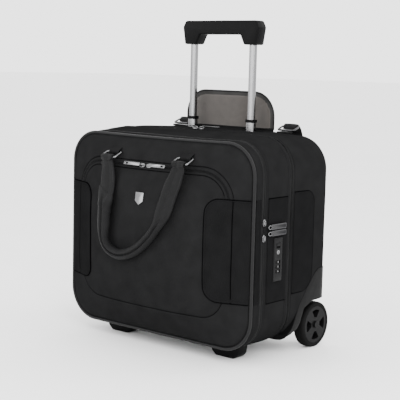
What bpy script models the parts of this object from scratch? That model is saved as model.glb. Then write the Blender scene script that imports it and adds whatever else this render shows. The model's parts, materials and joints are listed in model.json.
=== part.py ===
"""A rolling laptop case with a trolley handle, two wheels and hinged compartments.

Metres, +Z up. The front faces -Y. The origin is at the middle of the base, on the floor.
"""
import math

import bmesh
import bpy
from mathutils import Matrix, Vector

GAP = 0.0003  # clearance between pieces that rest against each other

# The case's outline, seen from the front.
HALF_WIDTH = 0.215
BASE_Z = 0.027
TOP_Z = 0.384
TOP_CROWN = 0.006
CORNER_RADIUS = 0.058
SLOPE_LOW_Z = 0.260  # above this the top's slope to the front begins
FRONT_DROP_SIDE, FRONT_DROP_MIDDLE = 0.004, 0.008

# Where the sections start and end, front to back.
FACE_Y = -0.092
MAIN_ZIP_Y = -0.069
REAR_ZIP_Y = 0.010
BACK_Y = 0.128
WALL = 0.0035
BACK_EDGE_RADIUS = 0.025
FACE_EDGE_RADIUS = 0.005

# The padded pocket that bulges from the front, and the outline of the zip round it.
BULGE = 0.054
BULGE_MIDDLE_Z, BULGE_HALF_HEIGHT = 0.205, 0.179
POCKET_HALF_WIDTH = 0.182
POCKET_LOW_Z, POCKET_HIGH_Z = 0.066, 0.337
POCKET_CORNER = 0.060
POCKET_WALL = 0.003
ZIP_BAND = 0.014
BADGE_Z = 0.2735

# Wheels and the corner housings that hold them.
WHEEL_RADIUS = 0.0417
WHEEL_Y, WHEEL_Z = 0.117, 0.0417
WHEEL_IN_X, WHEEL_OUT_X = 0.1800, 0.2010
RIM_RADIUS = 0.0335
AXLE_RADIUS = 0.004
HOUSING_IN_X, HOUSING_OUT_X = 0.1505, 0.2165
HOUSING_PLATE = 0.008
HOUSING_LOW_Z = 0.0275

# The trolley: two legs of three telescoping tubes, with a grip across the top.
LEG_X, LEG_Y = 0.0704, 0.075
OUTER_TUBE = (0.0200, 0.0160)
LOWER_TUBE = (0.0165, 0.0125)
UPPER_TUBE = (0.0130, 0.0105)
OUTER_TUBE_Z = (0.0358, 0.3412)
LOWER_TUBE_Z = (0.1100, 0.4040)
UPPER_TUBE_Z = (0.2500, 0.5615)
COLLAR_Z = (0.4035, 0.4095)
COLLAR_BORE = (0.0186, 0.0154)
GRIP_LOW_Z, GRIP_HIGH_Z = 0.5450, 0.5890
GRIP_DEPTH = 0.026
BAR_UNDER_Z = 0.5635

# The well that the grip sinks into.
WELL_X, WELL_FRONT_Y, WELL_BACK_Y = 0.100, 0.050, 0.095
WELL_FLOOR_Z = 0.3420
WELL_RIM_Z = 0.3865
BOARD_Y = (0.0460, 0.0485)

# The flap behind the trolley.
FLAP_HALF_WIDTH, FLAP_Y, FLAP_Z, FLAP_HEIGHT = 0.104, 0.099, 0.3925, 0.0665
FLAP_THICKNESS, FLAP_CORNER = 0.003, 0.045

# The two front feet, front to back.
FOOT_Y = (-0.057, -0.030)

# The lock, let into the side of the middle section.
LOCK_Y, LOCK_LOW_Z, LOCK_HIGH_Z, LOCK_WIDTH = -0.030, 0.145, 0.220, 0.024
LOCK_FACE_X = 0.2185
DIAL_RADIUS, DIAL_HEIGHT, DIAL_X = 0.0065, 0.0054, 0.2124
DIAL_ZS = (0.162, 0.170, 0.178)
KEY_Z = 0.195
RELEASE_Z = 0.2075

# Zip sliders and their pulls.
SLIDER = (0.012, 0.009, 0.005)  # along the zip, across it, proud of it
TAPE_SLIDERS_X = (-0.0075, 0.0075)
PULL_LENGTH, PULL_WIDTH, PULL_THICKNESS = 0.038, 0.0060, 0.0018
MAIN_SLIDERS_Z = (0.248, 0.222)
SIDE_TAB_RISES = (0.020, 0.009)  # of the tabs above the lock

# Carry handles.
RING_WIRE = 0.0018
RING_WIDTH = 0.035
FRONT_RING_X, FRONT_RING_Y, FRONT_RING_Z = 0.085, -0.1195, 0.3490
FRONT_RING_REACH, FRONT_RING_DROP = 0.0185, 0.0085
FRONT_TAB, FRONT_TAB_RISE = (0.0240, 0.0024, 0.0130), 0.0125
REAR_RING_X, REAR_RING_Y, REAR_RING_Z = 0.127, 0.105, 0.3925
REAR_RING_WIDTH, REAR_RING_REACH, REAR_RING_DROP = 0.036, 0.017, 0.0065
REAR_TAB_HALF_WIDTH, REAR_TAB_LOW_Z = 0.012, 0.3868
STRAP_THICKNESS = 0.0032
GRIP_ROLL_RADIUS, GRIP_ROLL_FLATNESS, GRIP_ROLL_Y = 0.0108, 0.78, -0.1558

parts = None
guides = None


# ---------------------------------------------------------------- scene, materials, bodies

def clear_scene():
    """Empty the scene and make one collection for the parts and one for the cutters."""
    global parts, guides
    for old in list(bpy.data.objects):
        bpy.data.objects.remove(old)
    parts = bpy.data.collections.new("rolling_laptop_case")
    guides = bpy.data.collections.new("cutters")
    bpy.context.scene.collection.children.link(parts)
    bpy.context.scene.collection.children.link(guides)


def finish_of(name, colour, roughness, metallic=0.0):
    """A Principled material."""
    material = bpy.data.materials.new(name)
    material.use_nodes = True
    shader = material.node_tree.nodes["Principled BSDF"]
    shader.inputs["Base Color"].default_value = (*colour, 1.0)
    shader.inputs["Roughness"].default_value = roughness
    shader.inputs["Metallic"].default_value = metallic
    return material


def pivot(name, point, parent=None):
    """An empty on a joint's axis, for the pieces that move with it."""
    empty = bpy.data.objects.new(name, None)
    empty.empty_display_size = 0.02
    parts.objects.link(empty)
    at = Vector(point)
    empty["at"] = at
    if parent is not None:
        empty.parent = parent
        at = at - Vector(parent["at"])
    empty.location = at
    return empty


def place(name, mesh, material, body):
    """Add a piece whose mesh is in world coordinates to the body that carries it."""
    piece = bpy.data.objects.new(name, mesh)
    parts.objects.link(piece)
    mesh.materials.clear()
    mesh.materials.append(material)
    if body is not None:
        piece.parent = body
        piece.location = -Vector(body["at"])
    return piece


def guide(mesh, body):
    """A cutter or a join partner, kept out of the model."""
    tool = bpy.data.objects.new("cutter", mesh)
    guides.objects.link(tool)
    tool.hide_render = True
    tool.display_type = "WIRE"
    if body is not None:
        tool.parent = body
        tool.location = -Vector(body["at"])
    return tool


def combine(piece, mesh, operation):
    """A Boolean of the piece with a helper mesh."""
    step = piece.modifiers.new(operation.lower(), "BOOLEAN")
    step.operation = operation
    step.object = guide(mesh, piece.parent)


def bevel(piece, width, segments=2, angle=35.0):
    """Round the sharp edges."""
    step = piece.modifiers.new("bevel", "BEVEL")
    step.width = width
    step.segments = segments
    step.limit_method = "ANGLE"
    step.angle_limit = math.radians(angle)


# ---------------------------------------------------------------- outlines

def arc(centre, radius, start, end, steps):
    """Points on an arc, ends included, angles in degrees."""
    points = []
    for i in range(steps + 1):
        a = math.radians(start + (end - start) * i / steps)
        points.append((centre[0] + radius * math.cos(a), centre[1] + radius * math.sin(a)))
    return points


def rounded_rectangle(low, high, radius, steps=5):
    """A counter-clockwise outline with equal round corners."""
    (x0, y0), (x1, y1) = low, high
    r = radius
    return (arc((x1 - r, y0 + r), r, -90, 0, steps) + arc((x1 - r, y1 - r), r, 0, 90, steps)
            + arc((x0 + r, y1 - r), r, 90, 180, steps) + arc((x0 + r, y0 + r), r, 180, 270, steps))


def case_outline(inset=0.0):
    """The case from the front: round corners and a slightly crowned top."""
    r = CORNER_RADIUS - inset
    half, low, high = HALF_WIDTH - inset, BASE_Z + inset, TOP_Z - inset
    flat = half - r
    crown = []
    for i in range(1, 8):
        x = flat - 2 * flat * i / 8
        crown.append((x, high + TOP_CROWN * (1 - (x / flat) ** 2)))
    return (arc((flat, low + r), r, -90, 0, 6) + arc((flat, high - r), r, 0, 90, 6) + crown
            + arc((-flat, high - r), r, 90, 180, 6) + arc((-flat, low + r), r, 180, 270, 6))


def sloped(x, y, z):
    """A height after the top's slope: lower towards the front, and most so in its middle."""
    share = min(max(y / FACE_Y, 0.0), 1.0)
    rise = min(max((z - SLOPE_LOW_Z) / (TOP_Z - SLOPE_LOW_Z), 0.0), 1.0)
    middle = max(1 - (x / (HALF_WIDTH - CORNER_RADIUS)) ** 2, 0.0)
    return z - share * rise * (FRONT_DROP_SIDE + FRONT_DROP_MIDDLE * middle)


def pocket_outline(inset=0.0):
    """The pocket from the front, along its zip, or further in or out."""
    radius = max(POCKET_CORNER - inset, 0.012)
    return rounded_rectangle((-POCKET_HALF_WIDTH + inset, POCKET_LOW_Z + inset),
                             (POCKET_HALF_WIDTH - inset, POCKET_HIGH_Z - inset), radius, 6)


def pocket_foot_outline(spread):
    """The slope outside the zip, from the zip's outline at 0 to the case's edge at 1."""
    edge = 0.004
    half = POCKET_HALF_WIDTH + spread * (HALF_WIDTH - edge - POCKET_HALF_WIDTH)
    low = POCKET_LOW_Z + spread * (BASE_Z + edge - POCKET_LOW_Z)
    high = POCKET_HIGH_Z + spread * (TOP_Z - edge - POCKET_HIGH_Z)
    radius = POCKET_CORNER + spread * (CORNER_RADIUS - edge - POCKET_CORNER)
    return rounded_rectangle((-half, low), (half, high), radius, 6)


def front_y(x, z):
    """The front's surface: highest in the middle, and falling to the flat lid at its edges."""
    u = min(abs(x) / HALF_WIDTH, 1.0)
    v = min(abs(z - BULGE_MIDDLE_Z) / BULGE_HALF_HEIGHT, 1.0)
    return FACE_Y - GAP - BULGE * (1 - u ** 2.5) * (1 - v ** 3)


def front_lean(x, z):
    """How far the front's surface leans back from upright at a point, in radians."""
    step = 0.004
    return math.atan2(front_y(x, z + step) - front_y(x, z - step), 2 * step)


def mirrored(outline):
    """The outline mirrored left to right, still counter-clockwise."""
    return [(-x, z) for x, z in reversed(outline)]


# ---------------------------------------------------------------- meshes

AXIS_TURN = {
    "X": Matrix(((0, 0, 1), (1, 0, 0), (0, 1, 0))).to_4x4(),  # outline in (y, z)
    "Y": Matrix(((1, 0, 0), (0, 0, -1), (0, 1, 0))).to_4x4(),  # outline in (x, z)
    "Z": Matrix.Identity(4),  # outline in (x, y)
}


def cleaned(mesh):
    """Weld the caps to the sides and face everything outwards."""
    work = bmesh.new()
    work.from_mesh(mesh)
    bmesh.ops.remove_doubles(work, verts=work.verts, dist=1e-6)
    bmesh.ops.recalc_face_normals(work, faces=work.faces)
    work.to_mesh(mesh)
    work.free()
    return mesh


def mesh_of_curve(curve, matrix):
    """The mesh of a curve object, in world coordinates."""
    shape = bpy.data.objects.new("curve", curve)
    guides.objects.link(shape)
    shape.matrix_world = matrix
    graph = bpy.context.evaluated_depsgraph_get()
    mesh = bpy.data.meshes.new_from_object(shape.evaluated_get(graph))
    mesh.transform(matrix)
    bpy.data.objects.remove(shape)
    return cleaned(mesh)


def slab(outline, axis, low, high):
    """A flat outline extruded along an axis from low to high."""
    curve = bpy.data.curves.new("outline", "CURVE")
    curve.dimensions = "2D"
    curve.fill_mode = "BOTH"
    curve.extrude = (high - low) / 2
    spline = curve.splines.new("POLY")
    spline.points.add(len(outline) - 1)
    for point, (u, v) in zip(spline.points, outline):
        point.co = (u, v, 0, 1)
    spline.use_cyclic_u = True
    middle = Vector((0, 0, 0))
    middle["XYZ".index(axis)] = (low + high) / 2
    return mesh_of_curve(curve, Matrix.Translation(middle) @ AXIS_TURN[axis])


def wire(points, radius, closed=False):
    """A round wire or roll along points."""
    curve = bpy.data.curves.new("wire", "CURVE")
    curve.dimensions = "3D"
    curve.bevel_depth = radius
    curve.bevel_resolution = 2
    curve.use_fill_caps = True
    spline = curve.splines.new("POLY")
    spline.points.add(len(points) - 1)
    for point, co in zip(spline.points, points):
        point.co = (*co, 1)
    spline.use_cyclic_u = closed
    return mesh_of_curve(curve, Matrix.Identity(4))


def block(low, high):
    """A box between two corners."""
    work = bmesh.new()
    size = [h - l for l, h in zip(low, high)]
    middle = [(h + l) / 2 for l, h in zip(low, high)]
    bmesh.ops.create_cube(work, matrix=Matrix.LocRotScale(middle, None, size))
    mesh = bpy.data.meshes.new("block")
    work.to_mesh(mesh)
    work.free()
    return mesh


def tilted_block(centre, size, turn):
    """A box about a centre, turned by a matrix."""
    work = bmesh.new()
    matrix = Matrix.Translation(centre) @ turn @ Matrix.Diagonal((*size, 1))
    bmesh.ops.create_cube(work, matrix=matrix)
    mesh = bpy.data.meshes.new("block")
    work.to_mesh(mesh)
    work.free()
    return mesh


def rod(centre, radius, length, axis, sides=24):
    """A cylinder along an axis."""
    work = bmesh.new()
    turn = {"X": Matrix.Rotation(math.pi / 2, 4, "Y"), "Y": Matrix.Rotation(math.pi / 2, 4, "X"),
            "Z": Matrix.Identity(4)}[axis]
    bmesh.ops.create_cone(work, cap_ends=True, segments=sides, radius1=radius, radius2=radius,
                          depth=length, matrix=Matrix.Translation(centre) @ turn)
    mesh = bpy.data.meshes.new("rod")
    work.to_mesh(mesh)
    work.free()
    return mesh


def skin(loops, cap_last=True, cap_first=False):
    """A surface through loops of equal length, each a list of points."""
    work = bmesh.new()
    rings = [[work.verts.new(p) for p in loop] for loop in loops]
    count = len(rings[0])
    for near, far in zip(rings, rings[1:]):
        for i in range(count):
            j = (i + 1) % count
            work.faces.new((near[i], near[j], far[j], far[i]))
    if cap_last:
        work.faces.new(rings[-1])
    if cap_first:
        work.faces.new(reversed(rings[0]))
    bmesh.ops.recalc_face_normals(work, faces=work.faces)
    mesh = bpy.data.meshes.new("skin")
    work.to_mesh(mesh)
    work.free()
    return mesh


def tub_loops(outline_at, open_y, closed_y, edge, steps=4):
    """Loops of a tub: straight sides, then a round edge towards its closed end."""
    way = 1 if closed_y > open_y else -1
    loops = [[(x, open_y, z) for x, z in outline_at(0.0)]]
    for i in range(steps + 1):
        a = math.pi / 2 * i / steps
        inset = edge * (1 - math.cos(a))
        y = closed_y - way * edge * (1 - math.sin(a))
        loops.append([(x, y, z) for x, z in outline_at(inset)])
    return loops


def thicken(piece, wall):
    """Give an open surface its wall, inwards."""
    step = piece.modifiers.new("wall", "SOLIDIFY")
    step.thickness = wall
    step.offset = -1
    step.use_even_offset = True


def sleeve(size, middle, low, high, corner=0.003):
    """The open skin of a rectangular tube with round corners, along Z."""
    w, d = size
    outline = rounded_rectangle((middle[0] - w / 2, middle[1] - d / 2),
                                (middle[0] + w / 2, middle[1] + d / 2), corner, 3)
    return skin([[(x, y, z) for x, y in outline] for z in (low, high)], cap_last=False)


def ribbon(points, widths, facing):
    """The middle surface of a flat strap along points, its flat side facing a direction."""
    work = bmesh.new()
    rows = []
    for i, point in enumerate(points):
        before, after = Vector(points[max(i - 1, 0)]), Vector(points[min(i + 1, len(points) - 1)])
        side = (after - before).cross(Vector(facing)).normalized() * widths[i] / 2
        rows.append([work.verts.new(Vector(point) + side * k) for k in (-1, 1)])
    for near, far in zip(rows, rows[1:]):
        work.faces.new((near[0], near[1], far[1], far[0]))
    bmesh.ops.recalc_face_normals(work, faces=work.faces)
    mesh = bpy.data.meshes.new("ribbon")
    work.to_mesh(mesh)
    work.free()
    return mesh


def strap(name, points, widths, facing, material, body):
    """A strap whose flat side faces a direction."""
    piece = place(name, ribbon(points, widths, facing), material, body)
    step = piece.modifiers.new("wall", "SOLIDIFY")
    step.thickness = STRAP_THICKNESS
    step.offset = 0
    return piece


def smooth_path(points, per_span):
    """A Catmull-Rom curve through the points."""
    knots = [Vector(p) for p in points]
    ends = [2 * knots[0] - knots[1]] + knots + [2 * knots[-1] - knots[-2]]
    path = []
    for i in range(1, len(ends) - 2):
        a, b, c, d = ends[i - 1:i + 3]
        for k in range(per_span):
            t = k / per_span
            path.append(0.5 * (2 * b + (c - a) * t + (2 * a - 5 * b + 4 * c - d) * t * t
                               + (3 * b - a - 3 * c + d) * t ** 3))
    path.append(knots[-1])
    return path


# ---------------------------------------------------------------- materials

def make_finishes():
    """Every finish that the case uses."""
    return {
        "fabric": finish_of("fabric", (0.028, 0.028, 0.029), 0.85),
        "lining": finish_of("lining", (0.20, 0.18, 0.16), 0.90),
        "board": finish_of("board", (0.05, 0.05, 0.05), 0.70),
        "plastic": finish_of("plastic", (0.022, 0.022, 0.023), 0.45),
        "rubber": finish_of("rubber", (0.018, 0.018, 0.018), 0.80),
        "alloy": finish_of("alloy", (0.62, 0.62, 0.63), 0.28, 1.0),
        "steel": finish_of("steel", (0.50, 0.50, 0.51), 0.35, 1.0),
        "chrome": finish_of("chrome", (0.80, 0.80, 0.81), 0.12, 1.0),
        "pull": finish_of("pull", (0.10, 0.10, 0.10), 0.40),
        "strap": finish_of("strap", (0.026, 0.026, 0.027), 0.80),
        "lock": finish_of("lock", (0.06, 0.06, 0.062), 0.40),
        "dial": finish_of("dial", (0.04, 0.04, 0.04), 0.45),
    }


# ---------------------------------------------------------------- the three sections

def housing_outline(grow=0.0):
    """The corner housing from the side, in (y, z), with its well still filled."""
    g = grow
    return [(BACK_Y + 0.02, 0.151 + g), (0.096, 0.151 + g), (0.086 - g, 0.145 + g),
            (0.063 - g, 0.121 + g), (0.040 - g, 0.092 + g), (0.024 - g, 0.059 + g),
            (0.015 - g, 0.040), (0.019 - g, 0.015), (BACK_Y + 0.02, 0.015)]


def wheel_well_outline():
    """The opening round the wheel, in (y, z), running out past the back and the base."""
    return [(0.019, 0.010), (0.019, 0.0362), (0.039, 0.049), (0.047, 0.064), (0.056, 0.084),
            (0.080, 0.094), (BACK_Y + 0.03, 0.096), (BACK_Y + 0.03, 0.010)]


def counter_clockwise(outline):
    """The outline, turned if needed so that it runs counter-clockwise."""
    area = sum(a[0] * b[1] - b[0] * a[1] for a, b in zip(outline, outline[1:] + outline[:1]))
    return outline if area > 0 else outline[::-1]


def rear_section(finishes, case):
    """The fabric shell that holds the trolley, its board, and the well for the grip."""
    loops = tub_loops(case_outline, REAR_ZIP_Y + GAP / 2, BACK_Y, BACK_EDGE_RADIUS)
    shell = place("rear_shell", skin(loops), finishes["fabric"], case)
    thicken(shell, WALL)
    for side in (-1, 1):
        low, high = sorted((side * (HOUSING_IN_X - GAP), side * 0.25))
        outline = counter_clockwise(housing_outline(GAP))
        combine(shell, slab(outline, "X", low, high), "DIFFERENCE")
    combine(shell, block((-WELL_X, WELL_FRONT_Y, 0.36), (WELL_X, WELL_BACK_Y, 0.41)), "DIFFERENCE")

    inset = WALL + 0.001
    board = place("trolley_board", slab(case_outline(inset), "Y", *BOARD_Y), finishes["board"], case)
    for side in (-1, 1):
        low, high = sorted((side * (HOUSING_IN_X - GAP), side * 0.25))
        outline = counter_clockwise(housing_outline(GAP))
        combine(board, slab(outline, "X", low, high), "DIFFERENCE")

    rim = rounded_rectangle((-WELL_X + GAP, WELL_FRONT_Y + GAP), (WELL_X - GAP, WELL_BACK_Y - GAP),
                            0.004, 2)
    tray = place("handle_well", skin([[(x, y, z) for x, y in rim] for z in (WELL_RIM_Z, WELL_FLOOR_Z)]),
                 finishes["lining"], case)
    thicken(tray, 0.002)
    for side in (-1, 1):
        w, d = LOWER_TUBE[0] / 2 + 0.0006, LOWER_TUBE[1] / 2 + 0.0006
        hole = block((side * LEG_X - w, LEG_Y - d, 0.33), (side * LEG_X + w, LEG_Y + d, 0.35))
        combine(tray, hole, "DIFFERENCE")


def middle_section(finishes, middle):
    """The fabric frame between the zips, its lining wall and the two front feet."""
    loops = [[(x, y, z) for x, z in case_outline()]
             for y in (MAIN_ZIP_Y + GAP / 2, 0.0, REAR_ZIP_Y - GAP / 2)]
    loops = [[(x, y, sloped(x, y, z)) for x, y, z in loop] for loop in loops]
    frame = place("middle_frame", skin(loops, cap_last=False), finishes["fabric"], middle)
    thicken(frame, WALL)
    hole = block((0.205, LOCK_Y - 0.0093, LOCK_LOW_Z + 0.0047),
                 (0.225, LOCK_Y + 0.0093, LOCK_HIGH_Z - 0.0047))
    combine(frame, hole, "DIFFERENCE")
    place("lining_wall", slab(case_outline(WALL + 0.0005), "Y", 0.0045, 0.0075), finishes["lining"],
          middle)
    foot = [(0.108, 0.0), (0.149, 0.0), (0.158, 0.008), (0.161, BASE_Z - GAP),
            (0.096, BASE_Z - GAP), (0.099, 0.008)]
    for name, outline in (("foot_right", foot), ("foot_left", mirrored(foot))):
        piece = place(name, slab(outline, "Y", *FOOT_Y), finishes["plastic"], middle)
        bevel(piece, 0.0025)


def front_section(finishes, lid):
    """The lid with its raised pocket and the badge on it."""
    loops = tub_loops(case_outline, MAIN_ZIP_Y - GAP / 2, FACE_Y, FACE_EDGE_RADIUS, 3)
    loops = [[(x, y, sloped(x, y, z)) for x, y, z in loop] for loop in loops]
    shell = place("lid_shell", skin(loops), finishes["fabric"], lid)
    thicken(shell, WALL)
    outlines = [[(x, sloped(x, FACE_Y * spread, z)) for x, z in pocket_foot_outline(spread)]
                for spread in (1.0, 0.5)]
    outlines += [pocket_outline(inset) for inset in (0.0, ZIP_BAND, 0.040, 0.070, 0.100)]
    loops = [[(x, front_y(x, z), z) for x, z in outline] for outline in outlines]
    loops[0] = [(x, FACE_Y - GAP, z) for x, y, z in loops[0]]
    pocket = place("pocket_shell", skin(loops), finishes["fabric"], lid)
    thicken(pocket, POCKET_WALL)
    behind = block((-HALF_WIDTH - 0.01, FACE_Y - GAP, 0.0), (HALF_WIDTH + 0.01, 0.0, TOP_Z + 0.02))
    combine(pocket, behind, "DIFFERENCE")
    half, tip, shoulder, top = 0.0095, -0.0110, -0.0040, 0.0115
    shield = [(0.0, tip), (half, shoulder), (half, top), (-half, top), (-half, shoulder)]
    plate = slab(shield, "Y", -0.0022, -0.0004)
    plate.transform(Matrix.Translation((0, front_y(0, BADGE_Z), BADGE_Z))
                    @ Matrix.Rotation(-front_lean(0, BADGE_Z), 4, "X"))
    badge = place("badge", plate, finishes["chrome"], lid)
    bevel(badge, 0.0005, 1)


# ---------------------------------------------------------------- wheels

def envelope():
    """The space that the corner housings keep within."""
    def outline(inset):
        return rounded_rectangle((-HOUSING_OUT_X + inset, HOUSING_LOW_Z + inset),
                                 (HOUSING_OUT_X - inset, 0.40 - inset), 0.032 - inset, 5)
    return skin(tub_loops(outline, 0.0, BACK_Y + 0.0012, BACK_EDGE_RADIUS), cap_first=True)


def wheel_side(finishes, case, side, word):
    """A corner housing, its axle, and the wheel that turns on it."""
    low, high = sorted((side * HOUSING_IN_X, side * 0.23))
    outline = counter_clockwise(housing_outline())
    housing = place("wheel_housing_" + word, slab(outline, "X", low, high), finishes["plastic"], case)
    combine(housing, envelope(), "INTERSECT")
    low, high = sorted((side * (HOUSING_IN_X + HOUSING_PLATE), side * 0.25))
    well = slab(counter_clockwise(wheel_well_outline()), "X", low, high)
    combine(housing, well, "DIFFERENCE")
    bore = rod((side * HOUSING_IN_X, WHEEL_Y, WHEEL_Z), AXLE_RADIUS + GAP, 0.04, "X", 24)
    combine(housing, bore, "DIFFERENCE")

    head = 0.0025
    start, end = HOUSING_IN_X + GAP, WHEEL_OUT_X + 0.0005
    axle = place("axle_" + word, rod((side * (start + end) / 2, WHEEL_Y, WHEEL_Z), AXLE_RADIUS,
                                     end - start, "X", 24), finishes["steel"], case)
    combine(axle, rod((side * (end + head / 2 - 0.0004), WHEEL_Y, WHEEL_Z), 0.0065,
                      head + 0.0004, "X", 24), "UNION")

    body = pivot("wheel_pivot_" + word, (side * WHEEL_OUT_X, WHEEL_Y, WHEEL_Z))
    place("tyre_" + word, tyre_mesh(side), finishes["rubber"], body)
    rim_x = sorted((side * (WHEEL_IN_X + 0.001), side * (WHEEL_OUT_X - 0.0005)))
    hub = place("hub_" + word, rod((sum(rim_x) / 2, WHEEL_Y, WHEEL_Z), RIM_RADIUS,
                                   rim_x[1] - rim_x[0], "X", 48), finishes["plastic"], body)
    combine(hub, rod((side * 0.19, WHEEL_Y, WHEEL_Z), AXLE_RADIUS + GAP, 0.05, "X", 24), "DIFFERENCE")
    for k in range(4):
        combine(hub, hub_window(90 * k), "DIFFERENCE")


def tyre_mesh(side):
    """A tyre with round shoulders: its section turned about the wheel's axis."""
    inner, outer, r = RIM_RADIUS + 0.0004, WHEEL_RADIUS, 0.004
    x0, x1 = WHEEL_IN_X, WHEEL_OUT_X
    section = [(x0, inner), (x1, inner)]
    section += arc((x1 - r, outer - r), r, 0, 90, 3) + arc((x0 + r, outer - r), r, 90, 180, 3)
    steps = 48
    loops = []
    for x, radius in section:
        ring = []
        for i in range(steps):
            a = 2 * math.pi * i / steps
            ring.append((side * x, WHEEL_Y + radius * math.cos(a), WHEEL_Z + radius * math.sin(a)))
        loops.append(ring)
    return cleaned(skin(loops + loops[:1], cap_last=False))


def hub_window(angle):
    """One of the four openings between the crossed spokes, cut through the hub."""
    inner, outer = 0.013, 0.0275
    points = []
    for start, end, radius in ((-24, 24, outer), (14, -14, inner)):
        for i in range(5):
            a = math.radians(angle + start + (end - start) * i / 4)
            points.append((WHEEL_Y + radius * math.cos(a), WHEEL_Z + radius * math.sin(a)))
    return slab(counter_clockwise(points), "X", -0.25, 0.25)


# ---------------------------------------------------------------- trolley and flap

def trolley(finishes, case):
    """Fixed outer tubes, a lower stage with collars, and an upper stage with the grip."""
    lower = pivot("lower_stage_slide", (0, LEG_Y, COLLAR_Z[0]))
    upper = pivot("upper_stage_slide", (0, LEG_Y, GRIP_LOW_Z))
    bracket = place("trolley_foot", block((-0.085, 0.063, BASE_Z + WALL + GAP),
                                          (0.085, 0.087, OUTER_TUBE_Z[0] - GAP)),
                    finishes["steel"], case)
    bevel(bracket, 0.001, 1)
    for side, word in ((-1, "left"), (1, "right")):
        middle = (side * LEG_X, LEG_Y)
        tube = place("outer_tube_" + word, sleeve(OUTER_TUBE, middle, *OUTER_TUBE_Z),
                     finishes["steel"], case)
        thicken(tube, 0.0012)
        tube = place("lower_tube_" + word, sleeve(LOWER_TUBE, middle, *LOWER_TUBE_Z),
                     finishes["alloy"], lower)
        thicken(tube, 0.0008)
        tube = place("upper_tube_" + word, sleeve(UPPER_TUBE, middle, *UPPER_TUBE_Z),
                     finishes["alloy"], upper)
        thicken(tube, 0.0010)
        collar = place("collar_" + word, sleeve(COLLAR_BORE, middle, LOWER_TUBE_Z[1] + GAP,
                                                COLLAR_Z[1]), finishes["plastic"], lower)
        thicken(collar, 0.0021)
    grip(finishes, upper)


def grip(finishes, upper):
    """The moulded grip: a bar and two legs that widen towards it, and its release button."""
    half = [(0.0480, BAR_UNDER_Z), (0.0570, GRIP_LOW_Z), (0.0850, GRIP_LOW_Z), (0.0905, 0.5770),
            (0.0840, GRIP_HIGH_Z)]
    outline = half + [(-x, z) for x, z in reversed(half)]
    body = place("grip", slab(outline, "Y", LEG_Y - GRIP_DEPTH / 2, LEG_Y + GRIP_DEPTH / 2),
                 finishes["plastic"], upper)
    bevel(body, 0.003, 2)
    for side in (-1, 1):
        w, d = UPPER_TUBE[0] / 2 + GAP, UPPER_TUBE[1] / 2 + GAP
        bore = block((side * LEG_X - w, LEG_Y - d, 0.53),
                     (side * LEG_X + w, LEG_Y + d, UPPER_TUBE_Z[1] + GAP))
        combine(body, bore, "DIFFERENCE")
    recess = block((-0.0163, LEG_Y - 0.0073, GRIP_HIGH_Z - 0.0063), (0.0163, LEG_Y + 0.0073, 0.60))
    combine(body, recess, "DIFFERENCE")
    press = pivot("release_button_slide", (0, LEG_Y, GRIP_HIGH_Z), upper)
    button = place("release_button", block((-0.016, LEG_Y - 0.007, GRIP_HIGH_Z - 0.0030),
                                           (0.016, LEG_Y + 0.007, GRIP_HIGH_Z + 0.0004)),
                   finishes["plastic"], press)
    bevel(button, 0.0012, 2)


def flap(finishes):
    """The flap that covers the well, standing open behind the trolley."""
    hinge = pivot("flap_hinge", (0, FLAP_Y, FLAP_Z))
    top, r = FLAP_Z + FLAP_HEIGHT, FLAP_CORNER
    outline = [(-FLAP_HALF_WIDTH, FLAP_Z), (FLAP_HALF_WIDTH, FLAP_Z)]
    outline += arc((FLAP_HALF_WIDTH - r, top - r), r, 0, 90, 8)
    outline += arc((-FLAP_HALF_WIDTH + r, top - r), r, 90, 180, 8)
    place("flap", slab(outline, "Y", FLAP_Y - FLAP_THICKNESS / 2, FLAP_Y + FLAP_THICKNESS / 2),
          finishes["lining"], hinge)


# ---------------------------------------------------------------- lock

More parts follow.
